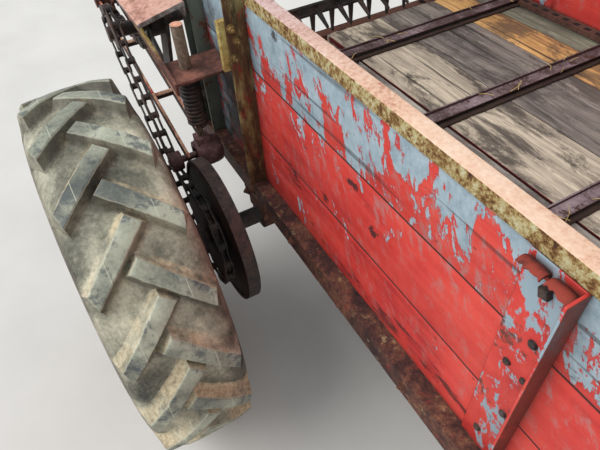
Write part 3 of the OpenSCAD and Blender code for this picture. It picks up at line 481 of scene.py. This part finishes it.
def tyre_rubber(name, hub):
    """Olive rubber, pale on the lugs' faces and dusty on their upper sides; hub is the wheel's middle."""
    s = Shade(name, 0.4)
    dx, dz = s.add(s.axis("X"), -hub.x), s.add(s.axis("Z"), -hub.z)
    radius = s.far(dx, dz)
    across = s.size(s.add(s.axis("Y"), -hub.y))
    turned = s.calc("DIVIDE", s.less(s.times(dx, s.axis("Z", normal=True)),
                                     s.times(dz, s.axis("X", normal=True))), radius)
    cloud = s.noise(7.5, 7, 0.62, 0.3)
    fine = s.noise(120, 6, 0.75)
    level = s.weigh((cloud, 0.76), (fine, 0.24))
    base = s.ramp(level, (0.37, (60, 60, 54)), (0.47, (118, 116, 100)), (0.55, (166, 162, 142)),
                  (0.64, (212, 204, 178)))
    worn = s.ramp(level, (0.37, (92, 96, 90)), (0.48, (136, 138, 122)), (0.6, (176, 178, 158)))
    # The lugs' faces, with darker scuffs towards their outer ends, a seam where they bend and a pale rim
    top = s.less(TYRE_R, s.times(s.most(s.add(across, -SHOULDER), 0.0), SHOULDER_DROP))
    depth = s.less(top, radius)
    face = s.ease(depth, 0.0045, 0.0015)
    scuffs = s.ease(s.add(s.noise(26, 6, 0.7, 0.4, shift=(2, 5, 1)), s.times(across, 0.9)), 0.56, 0.66)
    worn = s.mix(s.times(scuffs, 0.72), worn, (66, 72, 78))
    seam = s.ease(s.size(s.add(across, -SHOULDER)), 0.0011, 0.0004)
    rim = s.ease(s.size(s.add(depth, -0.0022)), 0.0018, 0.0006)
    worn = s.mix(s.times(seam, 0.6), worn, (206, 206, 186))
    colour = s.mix(face, base, worn)
    colour = s.mix(s.times(rim, 0.4), colour, (196, 192, 168))
    # Tan dust where it faces up at rest and at the lugs' feet; painted shade, darker where it faces down and
    # in corners
    tan = s.times(s.ease(turned, 0.1, 0.42), s.ease(s.noise(9, 5, 0.6, shift=(5, 2, 8)), 0.36, 0.6))
    damp = s.ease(s.noise(13, 6, 0.7, shift=(3, 1, 2)), 0.48, 0.6)
    foot = s.times(s.ease(s.corner(0.03), 0.12, 0.5), damp)
    dust = s.times(s.most(s.times(tan, 0.8), s.times(foot, 0.7)), s.less(1.0, face))
    colour = s.mix(dust, colour, s.ramp(fine, (0.36, (168, 146, 112)), (0.56, (222, 204, 168))))
    shade = s.ease(s.times(turned, -1.0), 0.15, 0.6)
    dark = s.times(s.most(s.times(shade, 0.62), s.ease(s.corner(0.018), 0.45, 0.95)), s.less(1.0, face))
    colour = s.mix(s.times(dark, 0.92), colour, (50, 43, 35))
    wall = s.ease(radius, 0.436, 0.418)
    colour = s.mix(s.times(wall, 0.5), colour, (88, 74, 66))
    return s.finish(colour, 0.62, level, 0.0012, spec=0.4)


def rim_steel():
    s = Shade("steel_rim_faded", 0.5)
    colour, pits = rust_colour(s, 1.0, mid=(122, 82, 66), bright=(176, 112, 84))
    paint = s.ease(s.noise(5, 7, 0.66, 0.4, shift=(1, 1, 6)), 0.46, 0.52)
    colour = s.mix(paint, colour, (150, 62, 50))
    colour = s.grime_and_corner_shade(colour, 0.04, 0.4, 0.95)
    return s.finish(colour, 0.7, pits, 0.001, spec=0.35)


MATERIALS = {
    "painted_wood": painted_wood(), "red_steel": painted_steel(), "worn_rail": worn_rail(),
    "rusty_steel": rusty_steel(), "sill": sill_steel(),
    "post": post_steel(), "green_steel": green_steel(), "dark_iron": dark_iron(),
    "chain": dark_iron("iron_chain", 1.0), "worn_guard": guard_steel(), "plate": plate_steel(),
    "slat": slat_steel(), "bearer": board_wood("wood_bearer", WOOD_GREY, WOOD_DARK, GRIME_AND_SHADE),
    "rusty_rim": rim_steel(), "arm": arm_steel(), "boss": boss_iron(),
    "gap_red": rusty_steel("paint_gap_red", (150, 46, 42), mid=(104, 26, 28)), "apron": apron_iron(),
    # A dark crust in front of the slats: dirt, and painted shadow under them
    "crust_and_shadow": rusty_steel("crust_and_shadow_dark", (146, 122, 90), mid=(62, 46, 38)),
    "straw": rusty_steel("straw_pale", (232, 214, 160), mid=(198, 172, 112), dark=(130, 104, 66)),
    "lip": rusty_steel("steel_lip_orange", (214, 120, 96), mid=(146, 60, 48)),
    "olive": rusty_steel("steel_olive_nuts", (186, 170, 112), mid=(124, 98, 56)), "rod": rod_steel(),
}


# Meshes
WELD = 1e-5


def placed(name, data):
    """A new object in the scene."""
    made = bpy.data.objects.new(name, data)
    bpy.context.scene.collection.objects.link(made)
    return made


def as_piece(name, mesh, material, body, replaces):
    """A visible piece on its body, with the material given; it stands in for the CAD nodes in replaces."""
    piece = placed(name, mesh)
    mesh.materials.clear()
    mesh.materials.append(material)
    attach(piece, body)
    if replaces:
        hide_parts(*replaces)


def tidy(mesh, angle=38):
    """Welds the mesh, turns its faces outward and smooths all but its sharp edges."""
    bm = bmesh.new()
    bm.from_mesh(mesh)
    bmesh.ops.remove_doubles(bm, verts=bm.verts, dist=WELD / 10)
    bmesh.ops.recalc_face_normals(bm, faces=bm.faces)
    bm.to_mesh(mesh)
    bm.free()
    mesh.shade_smooth()
    mesh.set_sharp_from_angle(angle=radians(angle))
    return mesh


def circle(steps, turn=0.0):
    """Cosine and sine at equal steps round a circle."""
    return [(cos(a), sin(a)) for a in (turn + 2 * pi * k / steps for k in range(steps))]


class Parts:
    """Vertices and faces of a mesh that is put together from several shapes."""

    def __init__(self):
        self.verts, self.faces = [], []

    def put(self, verts, faces):
        start = len(self.verts)
        self.verts += [Vector(v) for v in verts]
        self.faces += [tuple(i + start for i in face) for face in faces]

    def rings(self, rings, caps=True, loop=False):
        """Closed rings of equally many points, joined one to the next."""
        n, count = len(rings[0]), len(rings)
        faces = []
        for i in range(count if loop else count - 1):
            here, there = i * n, (i + 1) % count * n
            faces += [(here + j, here + (j + 1) % n, there + (j + 1) % n, there + j) for j in range(n)]
        if caps and not loop:
            faces += [tuple(range(n))[::-1], tuple(range((count - 1) * n, count * n))]
        self.put([v for ring in rings for v in ring], faces)

    def along(self, path, radius, steps):
        """Round bar along a path; radius is one number, or one for each point."""
        askew = Vector((0.31, 0.87, 0.38))
        rings = []
        for i, here in enumerate(path):
            ahead = path[i + 1] if i + 1 < len(path) else here
            behind = path[i - 1] if i else here
            way = (Vector(ahead) - Vector(behind)).normalized()
            side = way.cross(askew).normalized()
            up = side.cross(way)
            r = radius[i] if isinstance(radius, (list, tuple)) else radius
            rings.append([Vector(here) + r * (c * side + s * up) for c, s in circle(steps)])
        self.rings(rings)

    def prism(self, outline, place, edge):
        """Flat shape with a bevelled edge; place turns (u, v, 0 to 1 through it) into a point."""
        centre = sum((Vector(p) for p in outline), Vector((0, 0))) / len(outline)
        near = [centre + (Vector(p) - centre) * (1 - edge) for p in outline]
        self.rings([[place(u, v, depth) for u, v in points]
                    for points, depth in ((near, 0), (outline, 0.12), (outline, 0.88), (near, 1))])

    def bolt(self, at, way, r, h, sides=6, washer=1.45, dome=True, twist=0.3):
        """Bolt head or nut on a washer, standing on at and pointing along way."""
        way = Vector(way).normalized()
        side = way.orthogonal().normalized()
        up = way.cross(side)

        def drum(n, turn, *sizes):
            self.rings([[Vector(at) + way * height + radius * (c * side + s * up)
                         for c, s in circle(n, turn)] for radius, height in sizes])
        foot = -0.002
        if washer:
            wide = r * washer
            drum(16, 0.0, (wide, foot), (wide, 0.0014), (wide * 0.96, 0.002))
        drum(sides, twist, (r, foot), (r, h * 0.82), (r * 0.86, h))
        if dome:
            drum(10, 0.0, (r * 0.5, h * 0.9), (r * 0.5, h * 1.45), (r * 0.4, h * 1.6))

    def piece(self, name, material, node, replaces=(), angle=38):
        """All of it as one piece, on the body of a CAD node, with the material given."""
        mesh = bpy.data.meshes.new(name)
        mesh.from_pydata([tuple(v) for v in self.verts], [], self.faces)
        as_piece(name, tidy(mesh, angle), material, nodes[node]["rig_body"], replaces)


def welded(node):
    """The CAD node's own mesh, with the corners that meet made one."""
    bm = bmesh.new()
    bm.from_mesh(nodes[node].data)
    bmesh.ops.remove_doubles(bm, verts=bm.verts, dist=WELD)
    return bm


def islands(node):
    """Corners of each separate solid's box in a CAD node, from right to left, then from rear to front."""
    bm = welded(node)
    left, boxes = set(bm.verts), []
    while left:
        found, edge = set(), [left.pop()]
        while edge:
            v = edge.pop()
            found.add(v)
            near = {e.other_vert(v) for e in v.link_edges} & left
            left -= near
            edge += near
        boxes.append([Vector([pick(v.co[i] for v in found) for i in range(3)]) for pick in (min, max)])
    bm.free()
    return sorted(boxes, key=lambda b: (round(b[0].y, 4), round(b[0].x, 4)))


def softened(node, material, bevel=0.0015, segments=2):
    """The CAD node's own shape with its sharp edges rounded, in its place."""
    bm, flat, crease = welded(node), radians(1), radians(30)
    bmesh.ops.dissolve_limit(bm, angle_limit=flat, verts=bm.verts, edges=bm.edges)
    sharp = [e for e in bm.edges if len(e.link_faces) == 2 and e.calc_face_angle(0) > crease]
    bmesh.ops.bevel(bm, geom=sharp, offset=bevel, segments=segments, profile=0.6, affect="EDGES",
                    clamp_overlap=True, loop_slide=True)
    mesh = bpy.data.meshes.new(f"{node}_soft")
    bm.to_mesh(mesh)
    bm.free()
    as_piece(f"{node}_soft", tidy(mesh), material, nodes[node]["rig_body"], (node,))


# Each finish, with the nodes that wear it
FINISHES = {
    "sill": ("sills",), "bearer": ("deck_bearers",), "worn_rail": ("top_rails",), "post": ("posts",),
    "painted_wood": ("planks_right", "planks_left", "front_boards"), "red_steel": ("stakes", "stand"),
    "rusty_steel": ("cross_ties", "axle_brackets", "drawbar", "stand_bracket", "levers", "distributor"),
    "green_steel": ("uprights",), "apron": ("apron_chains",), "slat": ("apron_slats",),
    "chain": ("main_chain", "fan_chain", "upper_chain"), "plate": ("tension_plate",), "arm": ("drive_arm",),
    "worn_guard": ("chain_guard",), "rusty_rim": ("rim_right", "rim_left"), "rod": ("tension_rod",),
    "dark_iron": ("beater_frame_right", "beater_frame_left", "apron_rear_shaft", "apron_front_shaft",
                  "axle", "drive_drum", "chain_tighteners", "tension_spring", "idler", "feed_drive", "hitch",
                  "hub_right", "hub_left", "main_beater", "upper_beater"),
}
LOOKS = {node: MATERIALS[finish] for finish, group in FINISHES.items() for node in group}
for node, look in LOOKS.items():
    nodes[node].data.materials.clear()
    nodes[node].data.materials.append(look)
SOFT = ("sills", "cross_ties", "top_rails", "posts", "stakes", "planks_right", "planks_left", "apron_slats",
        "tension_plate", "chain_guard", "drive_arm", "drawbar", "stand_bracket", "uprights", "deck_bearers")
for node in SOFT:
    softened(node, LOOKS[node])
softened("idler", MATERIALS["boss"], 0.004, 3)
for node in ("rim_right", "rim_left", "hub_right", "hub_left"):
    softened(node, LOOKS[node], 0.002)


# Tyres: a smooth carcass, as radius and distance from the middle, and lugs that lean from the middle outward
CARCASS = ((0.462, 0), (0.461, 0.04), (0.457, 0.08), (0.451, 0.1), (0.44, 0.115), (0.428, 0.122),
           (0.415, 0.128), (0.4, 0.1305), (0.385, 0.129), (0.365, 0.122), (0.34, 0.108), (0.32, 0.096),
           (0.306, 0.087), (0.297, 0.084))
# A lug from its face down: how far each ring stands out round the face, and its share of the lug's height
LUG_RINGS = ((0, 1), (0.0012, 0.975), (0.0032, 0.88), (0.008, 0.36), (0.0115, 0.15), (0.0165, 0.04),
             (0.024, -0.05))
# How far past the middle a lug's inner end reaches, how far from it the outer end lies, and its foot's limit
LUG_INNER, LUG_OUTER, LUG_LIMIT = 0.016, 0.106, 0.1285
LUG_W, LUG_WEAR = 0.0316, 0.0006
LUGS, LUG_STEPS, TURN_STEPS = 18, 22, 216
# First lug's angle on the inner and on the outer half, in degrees, and how far a lug strays from its place
FIRST_INNER, FIRST_OUTER, STRAY = 5.45, 15.8, 0.15


def carcass_radius(across):
    (r0, y0), (r1, y1) = next(pair for pair in zip(CARCASS, CARCASS[1:]) if across <= pair[1][1])
    return r0 + (r1 - r0) * (across - y0) / (y1 - y0)


def lug(parts, hub, side, angle, rng):
    """One lug on the half that lies on this side of the tyre, its inner end at this angle in degrees."""
    half = LUG_W * sqrt(2) / 4
    long = LUG_INNER + LUG_OUTER
    sides = ((Vector((half, half - LUG_INNER)), Vector((-long + LUG_W / 2, LUG_OUTER + 0.004))),
             (Vector((-half, -half - LUG_INNER)), Vector((-long - LUG_W / 2, LUG_OUTER - 0.003))))
    edges = []
    for a, b in sides:
        worn = [0.0] + [rng.uniform(-LUG_WEAR, LUG_WEAR) for _ in range(LUG_STEPS - 1)] + [0.0]
        edges.append([a.lerp(b, i / LUG_STEPS) + Vector((w, w)) for i, w in enumerate(worn)])
    way = Vector((-1, 1)).normalized()
    out = Vector((1, 1)).normalized()
    rings = []
    for spread, share in LUG_RINGS:
        ring = []
        for sign, edge in ((1, edges[0]), (-1, edges[1][::-1])):
            for k, p in enumerate(edge):
                i = k if sign > 0 else LUG_STEPS - k
                # The foot stands out at the ends too, less at the outer one
                end = -1.0 if i == 0 else 0.6 if i == LUG_STEPS else 0.0
                run, y = p + out * sign * spread + way * end * spread
                y = min(y, LUG_LIMIT)
                across = abs(y)
                top = TYRE_R - SHOULDER_DROP * max(0.0, across - SHOULDER)
                base = carcass_radius(across)
                r = base + (top - base) * share
                a = radians(angle) + run / TYRE_R
                ring.append(hub + Vector((r * cos(a), side * y, r * sin(a))))
        rings.append(ring)
    parts.rings(rings[::-1], caps=False)
    n = LUG_STEPS
    parts.put(rings[0], [(i, i + 1, 2 * n - i, 2 * n + 1 - i) for i in range(n)])


def tyre(side, name):
    node = f"tyre_{name}"
    hub = sum(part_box(node), Vector()) / 2
    parts, rng = Parts(), random.Random(11)
    outline = [(r, y) for r, y in CARCASS[::-1]] + [(r, -y) for r, y in CARCASS[1:]]
    parts.rings([[hub + Vector((r * c, y, r * s)) for r, y in outline] for c, s in circle(TURN_STEPS)],
                loop=True)
    for half, first in ((-side, FIRST_INNER), (side, FIRST_OUTER)):
        for k in range(LUGS):
            lug(parts, hub, half, first + k * 360 / LUGS + rng.uniform(-STRAY, STRAY), rng)
    parts.piece(f"{node}_worn", tyre_rubber(f"rubber_{name}", hub), node, (node,), 32)


tyre(-1, "right")
tyre(1, "left")


# Looks of the deck boards: limit in Y, name, pale, middle and dark tone, strength of stains and of red rub,
# shift of the pattern. A board has the last look whose limit lies left of its middle
BOARDS = (
    (0.6, "grey_green", ((150, 148, 128), (112, 110, 94), (70, 66, 58)), (0.5, 0, (3, 1, 0))),
    (0.405, "new_orange", ((232, 184, 122), (206, 154, 94), (128, 88, 62)), (0.7, 0, (1, 0, 4))),
    (0.28, "oak_swirl", ((168, 152, 138), (128, 116, 108), (72, 64, 60)), (0.75, 0, (2, 2, 2))),
    (0.055, "cream", ((226, 208, 182), (180, 164, 144), (112, 98, 88)), (0.85, 0, (0, 0, 1))),
    (-0.15, "pale_grey", ((196, 186, 174), (150, 140, 130), (96, 88, 84)), (0.6, 0.7, (5, 3, 2))),
)
BOARD_LOOKS = [(limit, board_wood(f"wood_{name}", *tones, *wear))
               for limit, name, tones, wear in BOARDS]
DECK_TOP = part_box("deck_boards")[1].z


def slat_crust_shadow_and_straw():
    """Slats on the deck: their lower front edges, thick with dirt and with a dark crust that is also painted
    shadow under the raised slats, and wisps of straw.
    """
    crust_and_shadow, straw, rng = Parts(), Parts(), random.Random(21)
    steps, wisps, inset, foot = 90, 9, 0.004, 0.0006
    for low, high in islands("apron_slats"):
        if high.z < DECK_TOP:
            continue
        rings = []
        for k in range(steps + 1):
            y = low.y + inset + (high.y - low.y - 2 * inset) * k / steps
            end = 0.7 if k in (0, steps) else 1.0
            wide, tall = rng.uniform(0.0105, 0.0135) * end, rng.uniform(0.0062, 0.0084) * end
            profile = ((-0.004, foot), (-0.004, tall), (wide * 0.8, tall * 0.94), (wide, tall * 0.4),
                       (wide * 0.96, foot))
            rings.append([Vector((high.x - 0.001, y, DECK_TOP)) + Vector((x, 0, z)) for x, z in profile])
        crust_and_shadow.rings(rings)
        for _ in range(wisps):
            at = Vector((rng.uniform(low.x, high.x + 0.02), rng.uniform(low.y + 0.05, high.y - 0.05),
                         high.z + 0.001))
            a, long = rng.uniform(0, pi), rng.uniform(0.02, 0.055)
            way = Vector((cos(a), sin(a), 0))
            bend = Vector((-way.y, way.x, 0)) * rng.uniform(-0.006, 0.006)
            middle = at + bend + Vector((0, 0, 0.003))
            straw.along([at - way * long / 2, middle, at + way * long / 2], 0.0009, 5)
    crust_and_shadow.piece("slat_crust_and_shadow", MATERIALS["crust_and_shadow"], "apron_slats", angle=60)
    straw.piece("slat_straw", MATERIALS["straw"], "deck_boards")


def gap_lining():
    """The open gap beside the cream board, the fourth from the right, shows a dark red edge."""
    low, high = islands("deck_boards")[3]
    parts, rng, steps = Parts(), random.Random(8), 40
    under = high.z - 0.016
    rings = []
    for k in range(steps + 1):
        x = low.x + 0.02 + (high.x - low.x - 0.03) * k / steps
        y, top = low.y - 0.0003, high.z - rng.uniform(0.0, 0.0012)
        rings.append([Vector((x, y, top)), Vector((x, y - rng.uniform(0.001, 0.0026), top)),
                      Vector((x, y - 0.002, under)), Vector((x, y, under))])
    parts.rings(rings)
    parts.piece("gap_edge", MATERIALS["gap_red"], "deck_boards", angle=60)


def deck():
    """The boards one by one; the two that end short of the others at the rear are broken there."""
    rng = random.Random(5)
    broken, sawn, front = 0.03, 0.006, 0.001
    shares = [0, 0.004, 0.02] + [0.1 * k for k in range(1, 10)] + [0.98, 0.996, 1]
    short_from = AXLE.x - 0.2
    for number, (low, high) in enumerate(islands("deck_boards")):
        middle = (low.y + high.y) / 2
        look = [material for limit, material in BOARD_LOOKS if middle < limit][-1]
        steps = max(3, int((high.y - low.y) / 0.006))
        ends = []
        for x, way, depth in ((low.x, 1, broken if low.x > short_from else sawn), (high.x, -1, front)):
            level, line = 0.5, []
            for k in range(steps + 1):
                level = min(1.0, max(0.0, level + rng.uniform(-0.45, 0.45)))
                line.append(Vector((x + way * depth * level, low.y + (high.y - low.y) * k / steps, 0)))
            ends.append(line)
        # A board is lowest at its four edges, and its face is a little hollow across the grain
        drops = [0.0015 if k in (0, steps) else 0.0006 * (1 - sin(pi * k / steps))
                 for k in range(steps + 1)]
        rings = []
        for share in shares:
            line = [ends[0][k].lerp(ends[1][k], share) for k in range(steps + 1)]
            dip = 0.0012 if share in (0, 1) else 0.0
            rings.append([Vector((v.x, v.y, high.z - dip - drop)) for v, drop in zip(line, drops)]
                         + [Vector((v.x, v.y, low.z)) for v in line[::-1]])
        parts = Parts()
        parts.rings(rings)
        parts.piece(f"deck_board_{number}", look, "deck_boards", ("deck_boards",))


deck()
slat_crust_shadow_and_straw()
gap_lining()


# Roller chains: each link has two side bars, a barrel and a pin with heads
def spans(loop):
    """Straights and arcs of a chain's path: length, heading, radius and start, or centre for an arc."""
    found = []
    headings = []
    pairs = list(zip(loop, loop[1:] + loop[:1]))
    for (x, z, r), (nx, nz, nr) in pairs:
        headings.append(atan2(nz - z, nx - x) - asin((nr - r) / hypot(nx - x, nz - z)))
    for heading, after, pair in zip(headings, headings[1:] + headings[:1], pairs):
        start, end = ((x + r * sin(heading), z - r * cos(heading)) for x, z, r in pair)
        found.append((dist(start, end), heading, 0, start))
        x, z, r = pair[1]
        swing = ((after - heading) if r > 0 else (heading - after)) % (2 * pi)
        found.append((abs(r) * swing, heading, r, (x, z)))
    return found


def on_path(path, run):
    """Point of the path at this length from its start."""
    run %= sum(span[0] for span in path)
    for length, heading, radius, at in path:
        if run <= length:
            if not radius:
                return (at[0] + run * cos(heading), at[1] + run * sin(heading))
            heading += run / radius
            return (at[0] + radius * sin(heading), at[1] - radius * cos(heading))
        run -= length
    return path[0][3]


# Half the height of a link's side bar, half the width inside it, and what every second link is wider by
LINK_BAR, LINK_GAP, LINK_WIDER = 0.0115, 0.0105, 0.0035
# Thickness of a side bar, and the radii of the barrel and of the pins' heads
LINK_THICK, BARREL_R, PIN_R = 0.0038, 0.0095, 0.0062


def chain(node, loop, y, links, first):
    """A loop of links round circles, each given as distance ahead of the axle, height and radius."""
    path = spans(loop)
    total = sum(span[0] for span in path)
    joints = [on_path(path, first(path) + k * total / links) for k in range(links)]
    parts = Parts()
    for k, here in enumerate(joints):
        there = joints[(k + 1) % links]
        ahead = Vector((there[0] - here[0], 0, there[1] - here[1]))
        length = ahead.length
        way = ahead.normalized()
        up = Vector((-way.z, 0, way.x))
        origin = Vector((AXLE.x + here[0], -y, here[1]))
        inner = LINK_GAP - 0.0045 + k % 2 * LINK_WIDER
        outline = []
        for end, turn in ((0.0, 90), (length, -90)):
            for a in range(0, 181, 30):
                a = radians(turn + a)
                outline.append((end + LINK_BAR * cos(a), LINK_BAR * sin(a)))
        outline = [(u, v * (0.8 if 0.2 * length < u < 0.8 * length else 1.0)) for u, v in outline]
        for side in (-1, 1):
            parts.prism(outline, lambda u, v, w: origin + way * u + up * v
                        + Vector((0, side * (inner + LINK_THICK * w), 0)), 0.05)
        across = Vector((0, 1, 0))
        half = across * (LINK_GAP - 0.003)
        parts.along([origin - half, origin + half], BARREL_R, 14)
        for side in (-1, 1):
            tip = origin + across * side * (LINK_GAP + 0.0005)
            parts.along([tip, tip + across * side * 0.0022, tip + across * side * 0.003],
                        [PIN_R, PIN_R, PIN_R - 0.0014], 10)
    parts.piece(f"{node}_links", MATERIALS["chain"], node, (node,))


chain("main_chain", ((0, 0.49, 0.1399), (-0.182, 0.635, -0.0361), (-0.6, 0.86, 0.07461)), 0.76, 37,
      lambda path: path[0][0] + path[1][0] / 2)
chain("fan_chain", ((-0.6, 0.86, 0.06002), (-1.02, 0.8, 0.06002)), 0.68, 29, lambda path: path[0][0] / 2)
chain("upper_chain", ((-0.4435, 1.19, 0.05335), (-0.6, 0.86, 0.06002)), -0.69, 26,
      lambda path: path[0][0] + path[1][0] + path[2][0] / 2)

# Small parts that the solids leave out: bolts, nuts, the coil of the spring and the stakes' curled tops
# First the faces they stand on, as distances from the part's middle plane
PLANK_OUT = -PLANKS_LOW.y
STAKE_FACE = PLANK_OUT + 0.0053
SILL_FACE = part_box("sills")[1].y
WHEEL_Y = (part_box("tyre_left")[0].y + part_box("tyre_left")[1].y) / 2
HUB_FACE = WHEEL_Y + 0.018
RIM_FACE = WHEEL_Y + 0.0048
# A stake's lip: its radius, how much less that is at the ends, its thickness, and the arc it runs through
LIP_R, LIP_FADE, LIP_THICK, LIP_START, LIP_ARC = 0.0165, 0.0015, 0.005, -22, 150
LIP_STEPS, LIP_ARC_STEPS = 8, 11


def spring():
    low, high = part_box("tension_spring")
    middle, reach = (low + high) / 2, (high.x - low.x) / 2
    wire, turns, steps = 0.0062, 12.6, 26
    parts = Parts()
    path = []
    for k in range(int(turns * steps) + 1):
        a = 2 * pi * k / steps
        climb = low.z + wire + (high.z - low.z - 2 * wire) * k / (turns * steps)
        path.append((middle.x + (reach - wire) * cos(a), middle.y + (reach - wire) * sin(a), climb))
    parts.along(path, wire, 8)
    parts.piece("spring_coil", MATERIALS["dark_iron"], "tension_spring", ("tension_spring",))


def stake_tops():
    """Each stake's top is slit, and rolled outward into two lips with a square bolt between them."""
    lips, heads, rng = Parts(), Parts(), random.Random(3)
    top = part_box("top_rails")[0].z - 0.004
    for low, high in islands("stakes"):
        side = 1 if low.y > 0 else -1
        out_y, middle_z = STAKE_FACE + 0.0145, top - 0.0185
        for x0, x1 in ((low.x + 0.002, low.x + 0.039), (low.x + 0.045, high.x - 0.0055)):
            rings = []
            for k in range(LIP_STEPS + 1):
                x = x0 + (x1 - x0) * k / LIP_STEPS
                r = LIP_R - LIP_FADE * abs(2 * k / LIP_STEPS - 1) ** 3 + rng.uniform(-0.0004, 0.0004)
                arc = LIP_ARC + rng.uniform(-10, 10)
                angles = [radians(LIP_START + arc * j / LIP_ARC_STEPS) for j in range(LIP_ARC_STEPS + 1)]
                walls = ((r, angles), (r - LIP_THICK, angles[::-1]))
                rings.append([Vector((x, side * (out_y - reach * cos(a)), middle_z + reach * sin(a)))
                              for reach, sweep in walls for a in sweep])
            lips.rings(rings)
        way = (0, side, 0)
        heads.bolt((low.x + 0.042, side * STAKE_FACE, top - 0.04), way, 0.0105, 0.01, 4, 0, False)
        for dx, z, r in ((0.054, 0.964, 0.0066), (0.031, 0.887, 0.0058), (0.064, 0.882, 0.005),
                         (0.059, 0.768, 0.006), (0.03, 0.66, 0.0066)):
            heads.bolt((low.x + dx, side * STAKE_FACE, z), way, r, 0.0045, 9, 1.2, False)
    lips.piece("stake_lips", MATERIALS["lip"], "stakes")
    heads.piece("stake_bolts", MATERIALS["dark_iron"], "axle")


def fixings():
    """Bolts of posts, sills and bearings, the nuts by the tension plate's ear, and the drive arm's boss."""
    parts = Parts()
    for side in (-1, 1):
        way = (0, side, 0)
        for z in (0.66, 0.8, 0.98):
            parts.bolt((AXLE.x - 0.025, side * (PLANK_OUT + 0.0062), z), way, 0.009, 0.007)
        for k in range(11):
            parts.bolt((AXLE.x - 0.25 + k * 0.235, side * SILL_FACE, 0.576), way, 0.0085, 0.007, washer=1.5,
                       twist=0.2 * k)
        for x in (-0.068, 0.068):
            parts.bolt((AXLE.x + x, side * 0.598, 0.53), way, 0.009, 0.008)
    parts.piece("frame_bolts", MATERIALS["rusty_steel"], "axle")
    nuts = Parts()
    for y, z, turn in ((-0.5985, 1.062, 0.1), (-0.588, 1.032, 0.5), (-0.5985, 0.992, 0.8)):
        nuts.bolt((AXLE.x, y, z), (1, 0, 0), 0.0085, 0.011, washer=1.25, twist=turn)
    nuts.piece("ear_nuts", MATERIALS["olive"], "posts")
    boss = Parts()
    at = Vector((AXLE.x - 0.182, 0, 0.635))
    boss.rings([[at + Vector((r * c, y, r * s)) for c, s in circle(40)] for y, r in (
        (-0.621, 0.024), (-0.622, 0.033), (-0.627, 0.039), (-0.64, 0.0425), (-0.66, 0.0435), (-0.68, 0.0425),
        (-0.692, 0.039), (-0.697, 0.034), (-0.698, 0.024))])
    boss.piece("arm_boss", MATERIALS["boss"], "idler", angle=60)


def wheel_bolts(side, name):
    """Six bolts through the hub's flange, and eight clips that hold the rim to its disc."""
    hub = sum(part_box(f"hub_{name}"), Vector()) / 2
    face = (HUB_FACE + 0.0002) * side
    flange_r, clip_r = 0.085, 0.262
    clip = ((-0.022, 0.243), (0.022, 0.243), (0.018, clip_r), (0.027, 0.2955), (-0.027, 0.2955),
            (-0.018, clip_r))
    parts = Parts()
    for k in range(6):
        a = radians(15 + 60 * k)
        parts.bolt((hub.x + flange_r * cos(a), face, hub.z + flange_r * sin(a)), (0, side, 0), 0.0095,
                   0.011, washer=1.4, twist=a)
    for k in range(8):
        a = radians(22.5 + 45 * k)
        out, turn = Vector((cos(a), 0, sin(a))), Vector((-sin(a), 0, cos(a)))
        at = Vector((hub.x, side * RIM_FACE, hub.z))
        parts.prism(clip, lambda u, v, w: at + turn * u + out * v + Vector((0, side * 0.011 * w, 0)), 0.06)
        parts.bolt(at + out * clip_r + Vector((0, side * 0.0105, 0)), (0, side, 0), 0.0085, 0.009, washer=1.3,
                   twist=a)
    parts.piece(f"wheel_bolts_{name}", MATERIALS["rusty_steel"], f"hub_{name}")


spring()
stake_tops()
fixings()
wheel_bolts(-1, "right")
wheel_bolts(1, "left")

# Camera at the photograph's angle: each row is one of its axes, to the right, up and back
CAMERA_AXES = ((0.48540569, 0.87266616, -0.05324554), (-0.60990175, 0.38162454, 0.69453767),
               (0.62641932, -0.30465799, 0.71748334))
CAMERA_PLACE = (-0.1455, -0.985, 1.59)
CAMERA_LENS = 31.81
camera = placed("camera", bpy.data.cameras.new("camera"))
camera.matrix_world = Matrix.Translation(CAMERA_PLACE) @ Matrix(CAMERA_AXES).transposed().to_4x4()
camera.data.lens = CAMERA_LENS
camera.data.sensor_width = 36
camera.data.clip_start = 0.02
camera.data.clip_end = 100
bpy.context.scene.camera = camera

# Floor and light
FLOOR_REACH = 30
SKY, SKY_STRENGTH = (0.92, 0.96, 1, 1), 0.8
SUN_STRENGTH, SUN_WIDTH, SUN_TILT, SUN_ROLL = 2.1, 50, 40, -14
floor_mesh = bpy.data.meshes.new("floor")
corners = ((-1, -1), (1, -1), (1, 1), (-1, 1))
floor_mesh.from_pydata([(x * FLOOR_REACH, y * FLOOR_REACH, 0) for x, y in corners], [], [(0, 1, 2, 3)])
floor = placed("floor", floor_mesh)
floor_look = Shade("floor_pale")
floor_tone = floor_look.ramp(floor_look.noise(3, 3), (0.3, (206, 203, 198)), (0.7, (214, 211, 206)))
floor_mesh.materials.append(floor_look.finish(floor_tone, 0.9, spec=0.2))

world = bpy.data.worlds.new("studio")
bpy.context.scene.world = world
world.use_nodes = True
sky = world.node_tree.nodes["Background"].inputs
sky["Color"].default_value = SKY
sky["Strength"].default_value = SKY_STRENGTH
sun = placed("soft_key", bpy.data.lights.new("soft_key", "SUN"))
sun.data.energy = SUN_STRENGTH
sun.data.angle = radians(SUN_WIDTH)
sun.rotation_euler = (radians(SUN_TILT), radians(SUN_ROLL), 0)

bpy.context.scene.view_settings.view_transform = "Standard"
